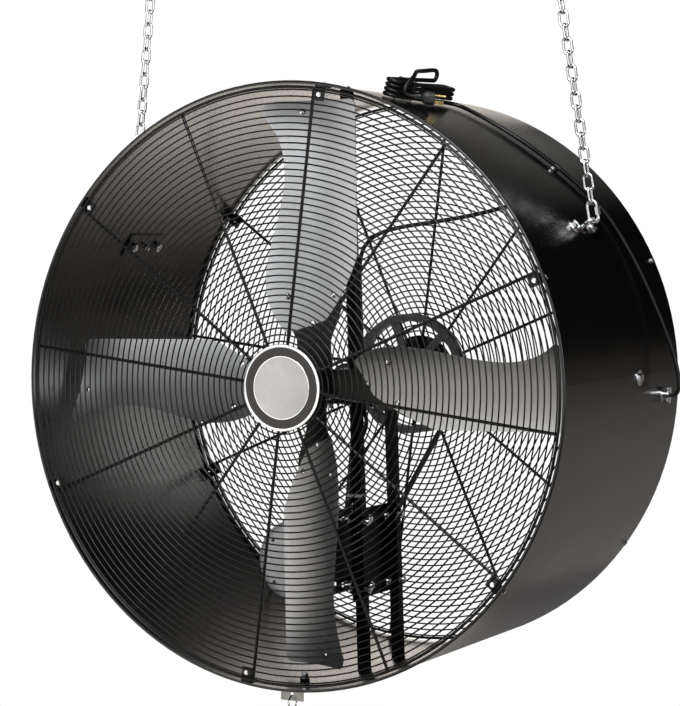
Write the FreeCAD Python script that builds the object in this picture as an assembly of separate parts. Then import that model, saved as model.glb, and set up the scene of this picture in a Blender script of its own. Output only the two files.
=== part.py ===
import FreeCAD
import Part
import math
import os

# A chain-hung drum fan: a rolled sheet drum with wire guards at both mouths,
# a four-blade rotor on two pillow blocks, and a belt drive from a motor below.
# All sizes are millimetres. The model is laid out about the drum's centre:
# X to the right seen from the front, Y towards the rear, Z up.
# On export it drops below the ceiling, where the part's own origin lies.

# Drum
drum_radius = 552.5
drum_depth = 573.4
drum_sheet = 1.5
hem_rise = 4.0
hem_width = 5.0

# Clearances
seat_gap = 0.05
running_clearance = 0.05
moving_gap = 0.4

# Guards
guard_wire = 3.0
spoke_wire = 5.0
guard_inset = 1.8
guard_first_radius = 60.2
guard_pitch = 11.9
guard_edge_margin = 6.0
spoke_count = 12
spoke_phase = 21.2
spoke_start = 25.0
clip_count = 6
clip_width = 20.0
clip_sheet = 3.0
clip_rise = 28.0
clip_length = 24.0
clip_bolt_inset = 17.0
clip_bolt_radius = 2.5
clip_bolt_reach = 9.0
clip_screw_radius = 2.0
small_nut_height = 3.2
badge_radius = 79.0
rear_disc_radius = 75.0
badge_thickness = 1.5
badge_stud_radius = 4.0
back_plate_radius = 45.0
back_plate_thickness = 2.0

# Fan shaft, hub and blades
shaft_radius = 12.7
shaft_front_inset = 86.7
shaft_rear_inset = 24.7
hub_radius = 32.0
hub_front_inset = 92.7
hub_length = 74.0
blade_count = 4
blade_sheet = 2.0
blade_chord = 174.0
blade_camber = 17.0
blade_pitch = 23.75
blade_middle_across = 11.5
blade_middle_inset = 112.7
blade_root_radius = 96.0
blade_bulge_radius = 160.0
blade_waist_radius = 330.0
blade_tip_radius = 524.0
blade_root_front = 42.0
blade_bulge_front = 67.0
blade_waist_front = 45.0
blade_tip_front = 68.0
blade_root_rear = 22.0
blade_shoulder_rear = 86.0
blade_shoulder_radius = 236.0
blade_tip_rear = 91.0
blade_front_corner = 24.0
blade_rear_corner = 14.0
arm_thickness = 5.0
arm_neck = 27.5
arm_spread = 50.0
arm_neck_radius = 84.0
arm_reach = 182.0
rivet_radius = 3.0
rivet_head_radius = 6.0
rivet_head_height = 2.4
rivet_inner_radius = 112.0
rivet_outer_inset = 18.0
rivet_outer_radius = arm_reach - rivet_outer_inset
rivet_spread = 38.0
tip_rivet_inset = 20.0
tip_rivet_across = -6.0

# Belt drive
drive_inset = 48.7
sheave_radius = 120.0
sheave_width = 22.0
sheave_rim = 14.5
sheave_hub_radius = 27.0
sheave_hub_length = 34.0
sheave_arms = 6
sheave_arm_width = 14.0
sheave_arm_thickness = 9.0
sheave_arm_phase = 46.0
motor_sheave_radius = 41.0
belt_top_width = 12.7
belt_height = 8.0
belt_flank = 19.0
belt_below_rim = 2.0
groove_extra_depth = 2.0

# Frame inside the drum
post_size = 19.0
post_wall = 1.6
post_across = 30.0
front_post_depth = -54.0
rear_post_depth = 89.0
shelf_half_width = 66.0
shelf_thickness = 6.0
shelf_overhang = 13.0
shelf_notch_across = 40.0
shelf_notch_depth = 22.0
bearing_height = 36.5
bearing_base_length = 127.0
bearing_base_width = 38.0
bearing_base_height = 14.0
bearing_housing_radius = 33.0
bearing_housing_width = 30.0
bearing_insert_radius = 25.0
bearing_insert_width = 31.0
bearing_bolt_spacing = 95.0
bearing_bolt_radius = 5.0
front_bearing_depth = -21.0
rear_bearing_depth = 44.0
brace_depth = 75.0
brace_start_across = 46.0
brace_wall_height = -4.0
end_block_length = 16.0
end_bolt_radius = 4.0

# Motor and its mount
motor_across = -126.0
motor_height = -349.0
motor_radius = 80.0
motor_shell_front = -5.0
motor_shell_rear = 150.0
motor_bell_length = 40.0
motor_bell_nose = 46.0
motor_bell_wall = 8.0
motor_wall = 3.0
motor_core_radius = 48.0
motor_core_margin = 22.0
motor_shaft_radius = 7.95
motor_foot_height = 88.9
motor_base_thickness = 4.0
motor_base_front = -25.0
motor_base_rear = 75.0
motor_base_half_height = 80.0
motor_flange_half_height = 35.0
motor_plate_thickness = 4.0
motor_plate_height = 170.0
motor_plate_middle = -330.0
motor_plate_margin = 4.0
stud_radius = 5.0
stud_front_depth = -9.0
stud_rear_depth = 59.0
stud_half_spacing = 64.0
stud_end_length = 12.0
nut_height = 8.0
nut_across_flats = 16.0
conduit_angle = 62.0
conduit_width = 44.0
conduit_length = 66.0
conduit_front = 0.0
conduit_rise = 28.0

# Hanger: eye bolts, quick links, chains and ceiling plates
hanger_angle = 30.0
hanger_plate_length = 122.0
hanger_plate_width = 50.0
hanger_plate_thickness = 4.0
hanger_bolt_spacing = 90.0
hanger_bolt_radius = 5.0
eye_wire = 7.0
eye_mean_radius = 10.5
eye_washer_radius = 14.0
eye_washer_thickness = 2.0
eye_washer_gap = 0.3
ceiling_eye_root = 1.0
quick_wire = 6.0
quick_inner_length = 34.0
quick_inner_width = 12.0
quick_nut_length = 14.0
chain_wire = 5.0
chain_pitch = 25.0
chain_inner_width = 11.0
chain_links = 20
chain_gap = 0.3
chain_lean = 7.5
ceiling_plate_width = 60.0
ceiling_plate_length = 110.0
ceiling_plate_thickness = 6.0
ceiling_hole_spacing = 70.0
ceiling_hole_radius = 5.5

# Supply cord: strain relief, clip, hank, lead and plug
cord_diameter = 8.0
relief_angle = -4.4
relief_inset = 91.7
relief_radius = 10.0
relief_length = 13.0
relief_collar_radius = 14.0
relief_collar_height = 4.0
relief_clamp_width = 30.0
relief_clamp_depth = 12.0
relief_screw_radius = 2.0
cord_clip_width = 12.0
cord_clip_wall = 1.5
cord_clip_tail = 18.0
cord_clip_bolt_offset = 13.0
hank_angle = 70.5
hank_middle_ahead = 263.0
hank_run = 218.0
hank_fold_radius = 12.0
hank_layers = 4
hank_step = 8.5
hank_lift = 1.7
hank_start_ahead = 189.0
hank_end_ahead = 200.0
tie_ahead = 325.0
tie_slack = 2.2
tie_width = 5.0
tie_thickness = 0.9
plug_length = 37.0
plug_width = 25.0
plug_height = 24.0
plug_out = 38.0
plug_ahead = 357.0
plug_lift = 13.5
plug_heading = 33.0
plug_climb = 8.0
prong_length = 17.0
prong_width = 6.3
prong_thickness = 1.5
prong_spacing = 12.7
ground_pin_radius = 2.4
ground_pin_length = 20.0
ground_pin_rise = 11.9
post_tie_height = -219.0
post_tie_width = 5.0
post_tie_thickness = 1.2

# Tether below the mouth
tether_across = -16.0
tether_inset = 82.7
tether_plate_width = 46.0
tether_plate_length = 70.0
tether_sheet = 3.0
tether_drop = 26.0
tether_hole_radius = 4.5
tether_ring_radius = 14.0
tether_ring_wire = 4.0
tether_bolt_radius = 4.0
tether_spacer_radius = 9.0
tether_spacer_height = 6.0

# Sizes worked out from those above
V = FreeCAD.Vector
axis_x = V(1, 0, 0)
axis_y = V(0, 1, 0)
axis_z = V(0, 0, 1)
wall_outer = drum_radius - hem_rise
wall_inner = wall_outer - drum_sheet
seat_radius = wall_inner - seat_gap
half_depth = drum_depth / 2
cord_radius = cord_diameter / 2
shelf_top = -bearing_height
shelf_underside = shelf_top - shelf_thickness
spoke_end = wall_inner - guard_edge_margin
front_mouth = -half_depth
rear_mouth = half_depth

# Depths of what keeps its distance from a mouth, and of the cord's pieces ahead of the strain relief
shaft_front = front_mouth + shaft_front_inset
shaft_rear = rear_mouth - shaft_rear_inset
hub_front = front_mouth + hub_front_inset
hub_rear = hub_front + hub_length
blade_middle_depth = front_mouth + blade_middle_inset
tether_depth = front_mouth + tether_inset
drive_plane = rear_mouth - drive_inset
relief_depth = rear_mouth - relief_inset
hank_middle_depth = relief_depth - hank_middle_ahead
hank_start_depth = relief_depth - hank_start_ahead
hank_end_depth = relief_depth - hank_end_ahead
tie_depth = relief_depth - tie_ahead
plug_depth = relief_depth - plug_ahead

# Chain line, from the eye bolt's wire to the wire of the ceiling eye
eye_reach = wall_outer + eye_washer_thickness + eye_washer_gap + 2 * eye_mean_radius + eye_wire / 2
eye_across = eye_reach * math.cos(math.radians(hanger_angle))
eye_height = eye_reach * math.sin(math.radians(hanger_angle))
chain_inner_length = chain_pitch + chain_gap
quick_bottom = -eye_wire / 2 - moving_gap
quick_top = quick_bottom + quick_inner_length
chain_line_length = (quick_top - chain_gap + (chain_links - 1) * chain_pitch
                     + chain_inner_length - chain_gap - eye_wire / 2)
lean_across = math.sin(math.radians(chain_lean))
lean_up = math.cos(math.radians(chain_lean))
ceiling_eye_across = eye_across - chain_line_length * lean_across
ceiling_eye_height = eye_height + chain_line_length * lean_up
ceiling_plate_underside = ceiling_eye_height + 2 * eye_mean_radius + eye_wire / 2 - ceiling_eye_root
ceiling_height = ceiling_plate_underside + ceiling_plate_thickness
tilt_height = eye_height - (eye_wire / 2 + moving_gap + quick_wire / 2) * lean_up


def save(name, *solids):
    """Write one node, moved from the drum's centre to the ceiling's frame."""
    group = Part.makeCompound([solid.copy() for solid in solids])
    group.translate(V(0, 0, -ceiling_height))
    group.exportStep("parts/" + name + ".step")


def turned(shape, angle):
    """Carry a shape made about the +X ray to the ray at an angle above it."""
    copy = shape.copy()
    copy.rotate(V(0, 0, 0), axis_y, -angle)
    return copy


def spun(shape, angle):
    """Turn a shape clockwise about the fan's axis, seen from the front."""
    copy = shape.copy()
    copy.rotate(V(0, 0, 0), axis_y, angle)
    return copy


def mirrored(shape):
    """The same piece on the left side."""
    return shape.mirror(V(0, 0, 0), axis_x)


def rod(start, end, radius):
    """A round bar between two points."""
    return Part.makeCylinder(radius, (end - start).Length, start, end - start)


def block(x_from, x_to, y_from, y_to, z_from, z_to):
    """A box between two corners."""
    return Part.makeBox(x_to - x_from, y_to - y_from, z_to - z_from, V(x_from, y_from, z_from))


def prism(across_flats, start, end):
    """A hexagonal bar between two points."""
    length = (end - start).Length
    corner = across_flats / math.sqrt(3)
    points = []
    for index in range(7):
        angle = math.radians(60 * index)
        points.append(V(corner * math.cos(angle), corner * math.sin(angle), 0))
    bar = Part.Face(Part.makePolygon(points)).extrude(V(0, 0, length))
    bar.Placement = FreeCAD.Placement(start, FreeCAD.Rotation(axis_z, end - start))
    return bar


def bolt(seat, outward, radius, reach):
    """A flanged hex bolt: its flange sits at the seat, its shank runs inward."""
    head_top = seat + outward * (1.8 * radius)
    flange = rod(seat, seat + outward * (0.5 * radius), 2.1 * radius)
    head = prism(3.2 * radius, seat, head_top)
    shank = rod(seat - outward * reach, seat, radius)
    return flange.fuse([head, shank]).removeSplitter()


def nut(seat, outward, radius, height):
    """A hex nut on a shank of that radius, standing on its seat."""
    body = prism(3.2 * radius, seat, seat + outward * height)
    bore = rod(seat - outward, seat + outward * (height + 1), radius + seat_gap)
    return body.cut(bore)


def stadium_link(inner_length, inner_width, wire):
    """A chain link in the XZ plane, centred, with its long side along Z."""
    side = (inner_width + wire) / 2
    straight = inner_length / 2 - inner_width / 2
    left_side = Part.makeLine(V(-side, 0, -straight), V(-side, 0, straight))
    top = Part.Arc(V(-side, 0, straight), V(0, 0, straight + side), V(side, 0, straight)).toShape()
    right_side = Part.makeLine(V(side, 0, straight), V(side, 0, -straight))
    bottom = Part.Arc(V(side, 0, -straight), V(0, 0, -straight - side), V(-side, 0, -straight)).toShape()
    path = Part.Wire([left_side, top, right_side, bottom])
    section = Part.Wire(Part.makeCircle(wire / 2, V(-side, 0, -straight), axis_z))
    return path.makePipeShell([section], True, False)


def inner_cylinder(radius):
    """The room inside the drum, up to a radius."""
    return Part.makeCylinder(radius, 2 * drum_depth, V(0, -drum_depth, 0), axis_y)


def wall_hole(angle, depth, radius):
    """A drill through the drum's wall."""
    start = V(wall_inner - 4 * drum_sheet, depth, 0)
    return turned(rod(start, V(drum_radius + hem_rise, depth, 0), radius), angle)


# Wall fixings, each with its angle, depth and shank radius
spoke_angles = [spoke_phase + 360 / spoke_count * index for index in range(spoke_count)]
clip_offset = clip_width / 2 + spoke_wire / 2 + 2 * seat_gap
clip_turn = math.degrees(math.asin(clip_offset / (seat_radius - clip_rise)))
post_foot_angle = math.degrees(math.atan2(-1, post_across / seat_radius))
post_roof_angle = math.degrees(math.atan2(1, post_across / seat_radius))
tether_angle = math.degrees(math.atan2(-1, tether_across / seat_radius))
brace_angle = math.degrees(math.asin(brace_wall_height / seat_radius))
wall_fixings = []


def clip_angles(side):
    """The angles of one guard's clips, each beside a spoke."""
    return [spoke_phase + side * clip_turn + 360 / clip_count * index for index in range(clip_count)]


for mouth_side in (-1, 1):
    for clip_angle in clip_angles(mouth_side):
        wall_fixings.append((clip_angle, mouth_side * (half_depth - clip_bolt_inset), clip_bolt_radius))
for side_angle in (hanger_angle, 180 - hanger_angle):
    wall_fixings.append((side_angle, 0, eye_wire / 2))
    wall_fixings.append((side_angle, -hanger_bolt_spacing / 2, hanger_bolt_radius))
    wall_fixings.append((side_angle, hanger_bolt_spacing / 2, hanger_bolt_radius))
wall_fixings.append((relief_angle, relief_depth, relief_radius))
wall_fixings.append((brace_angle, brace_depth, end_bolt_radius))
wall_fixings.append((post_foot_angle, front_post_depth, end_bolt_radius))
wall_fixings.append((post_foot_angle, rear_post_depth, end_bolt_radius))
wall_fixings.append((post_roof_angle, front_post_depth, end_bolt_radius))
wall_fixings.append((tether_angle, tether_depth, tether_bolt_radius))


def drum_shell():
    """The rolled sheet with a rounded hem at its front and a plain rear edge, drilled for its fixings."""
    front = front_mouth
    rear = rear_mouth
    hem_crown = wall_outer + hem_rise
    front_hem = Part.Arc(V(wall_outer, front, 0), V(hem_crown, front + hem_width / 2, 0),
                         V(wall_outer, front + hem_width, 0)).toShape()
    outline = Part.Wire([
        Part.makeLine(V(wall_inner, front, 0), V(wall_outer, front, 0)),
        front_hem,
        Part.makeLine(V(wall_outer, front + hem_width, 0), V(wall_outer, rear, 0)),
        Part.makeLine(V(wall_outer, rear, 0), V(wall_inner, rear, 0)),
        Part.makeLine(V(wall_inner, rear, 0), V(wall_inner, front, 0))])
    shell = Part.Face(outline).revolve(V(0, 0, 0), axis_y, 360)
    drills = [wall_hole(angle, depth, radius + seat_gap) for angle, depth, radius in wall_fixings]
    return shell.cut(drills)


def wire_ring(radius, depth):
    """One guard ring, drawn from wire of an eight-sided section."""
    corners = []
    for index in range(9):
        angle = math.radians(22.5 + 45 * index)
        out = guard_wire / 2 * math.cos(angle)
        back = guard_wire / 2 * math.sin(angle)
        corners.append(V(radius + out, depth + back, 0))
    return Part.Face(Part.makePolygon(corners)).revolve(V(0, 0, 0), axis_y, 360)


def guard_clip(side, screw_reach):
    """One angle bracket beside a spoke, with its bolt through the wall and its screw between two rings."""
    outward = axis_y * side
    face = side * (half_depth - guard_inset - guard_wire - seat_gap)
    half = clip_width / 2
    wall_span = sorted((face, face - side * clip_length))
    wall_leg = block(seat_radius - clip_sheet, seat_radius + 1, wall_span[0], wall_span[1], -half, half)
    guard_span = sorted((face, face - side * clip_sheet))
    guard_leg = block(seat_radius - clip_rise, seat_radius + 1, guard_span[0], guard_span[1], -half, half)
    bracket = wall_leg.fuse(guard_leg).common(inner_cylinder(seat_radius)).removeSplitter()
    bolt_depth = side * (half_depth - clip_bolt_inset)
    bolt_hole = rod(V(seat_radius - 2 * clip_sheet, bolt_depth, 0), V(wall_outer, bolt_depth, 0),
                    clip_bolt_radius + seat_gap)
    screw_seat = V(screw_reach, face, 0)
    screw_hole = rod(screw_seat - outward * (2 * clip_sheet), screw_seat + outward,
                     clip_screw_radius + seat_gap)
    bracket = bracket.cut([bolt_hole, screw_hole])
    wall_bolt = bolt(V(wall_outer + seat_gap, bolt_depth, 0), axis_x, clip_bolt_radius,
                     clip_bolt_reach + drum_sheet)
    wall_nut = nut(V(seat_radius - clip_sheet - seat_gap, bolt_depth, 0), -axis_x, clip_bolt_radius,
                   small_nut_height)
    screw_length = 2 * clip_sheet + small_nut_height
    screw = bolt(screw_seat + outward * seat_gap, outward, clip_screw_radius, screw_length)
    screw_nut = nut(screw_seat - outward * (clip_sheet + seat_gap), -outward, clip_screw_radius,
                    small_nut_height)
    return bracket, [wall_bolt, screw], [wall_nut, screw_nut]


def guard(side):
    """Rings, spokes, clips, clip bolts and nuts of one mouth; side is -1 in front, 1 behind."""
    ring_depth = side * (half_depth - guard_inset - guard_wire / 2)
    spoke_depth = ring_depth - side * (guard_wire / 2 + spoke_wire / 2 + seat_gap)
    ring_count = int((spoke_end - guard_first_radius) / guard_pitch) + 1
    radii = [guard_first_radius + guard_pitch * index for index in range(ring_count)]
    bracket, bracket_bolts, bracket_nuts = guard_clip(side, (radii[-2] + radii[-1]) / 2)
    if spoke_end - radii[-1] > guard_wire + seat_gap:
        radii.append(spoke_end)
    rings = [wire_ring(radius, ring_depth) for radius in radii]
    spoke = rod(V(spoke_start, spoke_depth, 0), V(spoke_end, spoke_depth, 0), spoke_wire / 2)
    spokes = [turned(spoke, angle) for angle in spoke_angles]
    clips = [turned(bracket, angle) for angle in clip_angles(side)]
    bolts = [turned(one, angle) for angle in clip_angles(side) for one in bracket_bolts]
    nuts = [turned(one, angle) for angle in clip_angles(side) for one in bracket_nuts]
    return rings, spokes, clips, bolts, nuts


def guard_disc(side, radius):
    """The plain disc at a guard's middle, with its stud, back plate and nut."""
    wire_front = side * (half_depth - guard_inset + seat_gap)
    spoke_back = side * (half_depth - guard_inset - guard_wire - spoke_wire - 2 * seat_gap)
    plate_back = spoke_back - side * back_plate_thickness
    out = axis_y * side
    disc = rod(V(0, wire_front, 0), V(0, wire_front, 0) + out * badge_thickness, radius)
    stud = rod(V(0, plate_back, 0) - out * (nut_height + 2), V(0, wire_front, 0), badge_stud_radius)
    plate = rod(V(0, spoke_back, 0), V(0, plate_back, 0), back_plate_radius)
    plate = plate.cut(rod(V(0, spoke_back, 0) + out, V(0, plate_back, 0) - out, badge_stud_radius + seat_gap))
    disc_nut = nut(V(0, plate_back, 0), -out, badge_stud_radius, nut_height)
    return disc.fuse(stud).removeSplitter(), plate, disc_nut


# Blade section: an arc of which the hollow faces the front
camber_radius = blade_chord ** 2 / (8 * blade_camber) + blade_camber / 2
pitch_sine = math.sin(math.radians(blade_pitch))
pitch_cosine = math.cos(math.radians(blade_pitch))
camber_centre_across = blade_middle_across + (camber_radius - blade_camber) * pitch_sine
camber_centre_depth = blade_middle_depth - (camber_radius - blade_camber) * pitch_cosine


def camber_point(radius, across, height):
    """The point of the cambered surface at a distance across and a height along the blade."""
    swing = math.asin((across - camber_centre_across) / radius)
    return V(across, camber_centre_depth + radius * math.cos(swing), height)


def camber_sheet(inner, thickness, across_from, across_to, height_from, height_to):
    """A curved sheet between two radii of the camber, standing along the blade."""
    outer = inner + thickness
    middle = (across_from + across_to) / 2
    front = [camber_point(inner, across, height_from) for across in (across_from, middle, across_to)]
    back = [camber_point(outer, across, height_from) for across in (across_from, middle, across_to)]
    edges = [Part.Arc(*front).toShape(), Part.makeLine(front[2], back[2]),
             Part.Arc(*reversed(back)).toShape(), Part.makeLine(back[0], front[0])]
    return Part.Face(Part.Wire(edges)).extrude(V(0, 0, height_to - height_from))


def depth_prism(edges):
    """A flat outline in the XZ plane, drawn out along Y past the whole rotor."""
    face = Part.Face(Part.Wire(edges))
    return face.extrude(V(0, drum_depth, 0))


def rivet_line(across, height):
    """The foot and the outward direction of a rivet through blade and arm."""
    foot = camber_point(camber_radius, across, height)
    toward_front = V(camber_centre_across, camber_centre_depth, height) - foot
    toward_front.normalize()
    return foot, toward_front


rivet_places = ((0.0, rivet_inner_radius), (-rivet_spread, rivet_outer_radius),
                (rivet_spread, rivet_outer_radius))
tip_rivet_place = (tip_rivet_across, blade_tip_radius - tip_rivet_inset)
rivet_grip = blade_sheet + seat_gap + arm_thickness


def rivet(place, grip):
    """A round-headed rivet, its head on the blade's hollow face."""
    foot, toward_front = rivet_line(*place)
    shank = rod(foot - toward_front * grip, foot + toward_front * seat_gap, rivet_radius)
    bulge = (rivet_head_radius ** 2 + rivet_head_height ** 2) / (2 * rivet_head_height)
    ball_centre = foot + toward_front * (seat_gap + rivet_head_height - bulge)
    ball = Part.makeSphere(bulge, ball_centre)
    keep = rod(foot + toward_front * seat_gap, foot + toward_front * (seat_gap + 2 * rivet_head_height),
               2 * rivet_head_radius)
    return shank.fuse(ball.common(keep)).removeSplitter()


def rivet_drill(place):
    """The hole for one rivet."""
    foot, toward_front = rivet_line(*place)
    start = foot - toward_front * (2 * rivet_grip)
    end = foot + toward_front * rivet_grip
    return rod(start, end, rivet_radius + seat_gap)


def blade():
    """The upper blade: straight leading edge at the rear, waisted trailing edge in front."""
    depth = -drum_depth
    front_edge = Part.BSplineCurve()
    front_points = [
        V(-blade_root_front, depth, blade_root_radius),
        V(-blade_bulge_front, depth, blade_bulge_radius),
        V(-blade_waist_front, depth, blade_waist_radius),
        V(-blade_tip_front, depth, blade_tip_radius - blade_front_corner)]
    front_edge.interpolate(front_points)
    corner_reach = blade_front_corner * (1 - math.sqrt(0.5))
    front_corner = Part.Arc(
        front_points[-1],
        V(corner_reach - blade_tip_front, depth, blade_tip_radius - corner_reach),
        V(blade_front_corner - blade_tip_front, depth, blade_tip_radius))
    rear_reach = blade_rear_corner * (1 - math.sqrt(0.5))
    rear_corner = Part.Arc(
        V(blade_tip_rear - blade_rear_corner, depth, blade_tip_radius),
        V(blade_tip_rear - rear_reach, depth, blade_tip_radius - rear_reach),
        V(blade_tip_rear, depth, blade_tip_radius - blade_rear_corner))
    shoulder = V(blade_shoulder_rear, depth, blade_shoulder_radius)
    root_rear = V(blade_root_rear, depth, blade_root_radius + blade_root_rear)
    taper = Part.BSplineCurve()
    taper_middle = (shoulder + root_rear) * 0.5 + V(blade_root_rear / 4, 0, 0)
    taper.interpolate([shoulder, taper_middle, root_rear])
    edges = [
        front_edge.toShape(),
        front_corner.toShape(),
        Part.makeLine(front_corner.EndPoint, rear_corner.StartPoint),
        rear_corner.toShape(),
        Part.makeLine(rear_corner.EndPoint, shoulder),
        taper.toShape(),
        Part.makeLine(root_rear, front_points[0])]
    side_room = 1.5 * blade_chord / 2
    sheet = camber_sheet(camber_radius, blade_sheet, blade_middle_across - side_room,
                         blade_middle_across + side_room, blade_root_radius / 2, blade_tip_radius + 10)
    cut_out = sheet.common(depth_prism(edges))
    return cut_out.cut([rivet_drill(place) for place in rivet_places + (tip_rivet_place,)])


def hub():
    """The spider: a bored boss with one curved arm behind each blade."""
    boss = rod(V(0, hub_front, 0), V(0, hub_rear, 0), hub_radius)
    behind = camber_radius + blade_sheet + seat_gap
    sheet = camber_sheet(behind, arm_thickness, -arm_spread, arm_spread, 0, arm_reach)
    depth = -drum_depth
    spread_from = rivet_outer_radius - arm_spread / 2
    corners = [
        V(-arm_neck, depth, 0),
        V(-arm_neck, depth, arm_neck_radius),
        V(-arm_spread, depth, spread_from),
        V(-arm_spread, depth, arm_reach),
        V(arm_spread, depth, arm_reach),
        V(arm_spread, depth, spread_from),
        V(arm_neck, depth, arm_neck_radius),
        V(arm_neck, depth, 0)]
    edges = [Part.makeLine(corners[index - 1], corners[index]) for index in range(len(corners))]
    arm = sheet.common(depth_prism(edges))
    arm = arm.cut([rivet_drill(place) for place in rivet_places])
    arms = [spun(arm, 360 / blade_count * index) for index in range(blade_count)]
    bore = rod(V(0, hub_front - 1, 0), V(0, hub_rear + 1, 0), shaft_radius + seat_gap)
    return boss.fuse(arms).cut(bore).removeSplitter()


# Belt geometry in the drive plane
belt_narrowing = belt_height * math.tan(math.radians(belt_flank))
motor_centre = V(motor_across, drive_plane, motor_height)
sheave_centre = V(0, drive_plane, 0)
sheave_belt_radius = sheave_radius - belt_below_rim
motor_belt_radius = motor_sheave_radius - belt_below_rim


def grooved_wheel(centre, radius, width, inner_radius):
    """A ring with a V groove, a little wider and deeper than the belt."""
    top_half = belt_top_width / 2 + moving_gap
    lip_half = top_half + belt_below_rim * math.tan(math.radians(belt_flank))
    groove_depth = belt_below_rim + belt_height + groove_extra_depth
    floor_half = lip_half - groove_depth * math.tan(math.radians(belt_flank))
    half = width / 2
    points = [
        (inner_radius, -half), (radius, -half), (radius, -lip_half), (radius - groove_depth, -floor_half),
        (radius - groove_depth, floor_half), (radius, lip_half), (radius, half), (inner_radius, half),
        (inner_radius, -half)]
    outline = Part.makePolygon([centre + V(reach, depth, 0) for reach, depth in points])
    return Part.Face(outline).revolve(centre, axis_y, 360)


def driven_sheave():
    """The large cast wheel on the fan shaft: grooved rim, arms and hub."""
    rim_inner = sheave_radius - sheave_rim
    rim = grooved_wheel(sheave_centre, sheave_radius, sheave_width, rim_inner)
    half_hub = axis_y * (sheave_hub_length / 2)
    boss = rod(sheave_centre - half_hub, sheave_centre + half_hub, sheave_hub_radius)
    half_arm = sheave_arm_thickness / 2
    arm = block(0, rim_inner + 1, drive_plane - half_arm, drive_plane + half_arm,
                -sheave_arm_width / 2, sheave_arm_width / 2)
    arms = [turned(arm, sheave_arm_phase + 360 / sheave_arms * index) for index in range(sheave_arms)]
    bore = rod(sheave_centre - half_hub * 2, sheave_centre + half_hub * 2, shaft_radius + seat_gap)
    return rim.fuse(arms + [boss]).cut(bore).removeSplitter()


def belt_section(centre, direction, outer_radius):
    """The belt's trapezium, standing on a wheel in one direction."""
    half_top = axis_y * (belt_top_width / 2)
    half_bottom = axis_y * (belt_top_width / 2 - belt_narrowing)
    top = centre + direction * outer_radius
    bottom = centre + direction * (outer_radius - belt_height)
    corners = [top - half_top, top + half_top, bottom + half_bottom, bottom - half_bottom]
    return Part.Face(Part.makePolygon(corners + corners[:1]))


def drive_belt():
    """An open belt: two wraps and the two straight runs between them."""
    span = motor_centre - sheave_centre
    distance = span.Length
    along = span * (1 / distance)
    across = axis_y.cross(along)
    fall = (sheave_belt_radius - motor_belt_radius) / distance
    rise = math.sqrt(1 - fall ** 2)
    left = along * fall + across * rise
    right = along * fall - across * rise
    left_run = (motor_centre + left * motor_belt_radius) - (sheave_centre + left * sheave_belt_radius)
    right_run = (motor_centre + right * motor_belt_radius) - (sheave_centre + right * sheave_belt_radius)
    wrap = 180 + 2 * math.degrees(math.asin(fall))
    pieces = [
        belt_section(sheave_centre, left, sheave_belt_radius).extrude(left_run),
        belt_section(sheave_centre, right, sheave_belt_radius).extrude(right_run),
        belt_section(sheave_centre, left, sheave_belt_radius).revolve(sheave_centre, axis_y, wrap),
        belt_section(motor_centre, right, motor_belt_radius).revolve(motor_centre, axis_y, 360 - wrap)]
    return pieces[0].fuse(pieces[1:]).removeSplitter()


def square_tube(start, end):
    """A square tube between two points, its ends open, cut to the drum's inside."""
    half = post_size / 2
    hollow = half - post_wall
    length = (end - start).Length
    outside = block(-half, half, -half, half, 0, length)
    inside = block(-hollow, hollow, -hollow, hollow, -1, length + 1)
    tube = outside.cut(inside)
    tube.Placement = FreeCAD.Placement(start, FreeCAD.Rotation(axis_z, end - start))
    return tube.common(inner_cylinder(seat_radius))


def wall_plug(middle, outward, angle):
    """The tapped block in a tube's end at the wall; its bolt comes in through the wall."""
    half = post_size / 2 - post_wall - seat_gap
    plug_block = block(-half, half, -half, half, -end_block_length, 2 * post_size)
    plug_block.Placement = FreeCAD.Placement(middle, FreeCAD.Rotation(axis_z, outward))
    plug_block = plug_block.common(inner_cylinder(seat_radius))
    drill = rod(V(wall_inner - 2 * end_block_length, middle.y, 0), V(drum_radius, middle.y, 0),
                end_bolt_radius + seat_gap)
    return plug_block.cut(turned(drill, angle))


def wall_bolt(angle, depth, radius, reach):
    """A flanged bolt seated on the outside of the drum."""
    return turned(bolt(V(wall_outer + seat_gap, depth, 0), axis_x, radius, reach), angle)


def wall_washer(angle, depth, bore, radius, thickness):
    """A washer that follows the drum's curve on the outside."""
    disc = rod(V(wall_outer - 2, depth, 0), V(drum_radius + 10, depth, 0), radius)
    disc = disc.cut(inner_cylinder(wall_outer + seat_gap)).common(inner_cylinder(wall_outer + thickness))
    return turned(disc.cut(rod(V(0, depth, 0), V(2 * drum_radius, depth, 0), bore)), angle)


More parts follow.
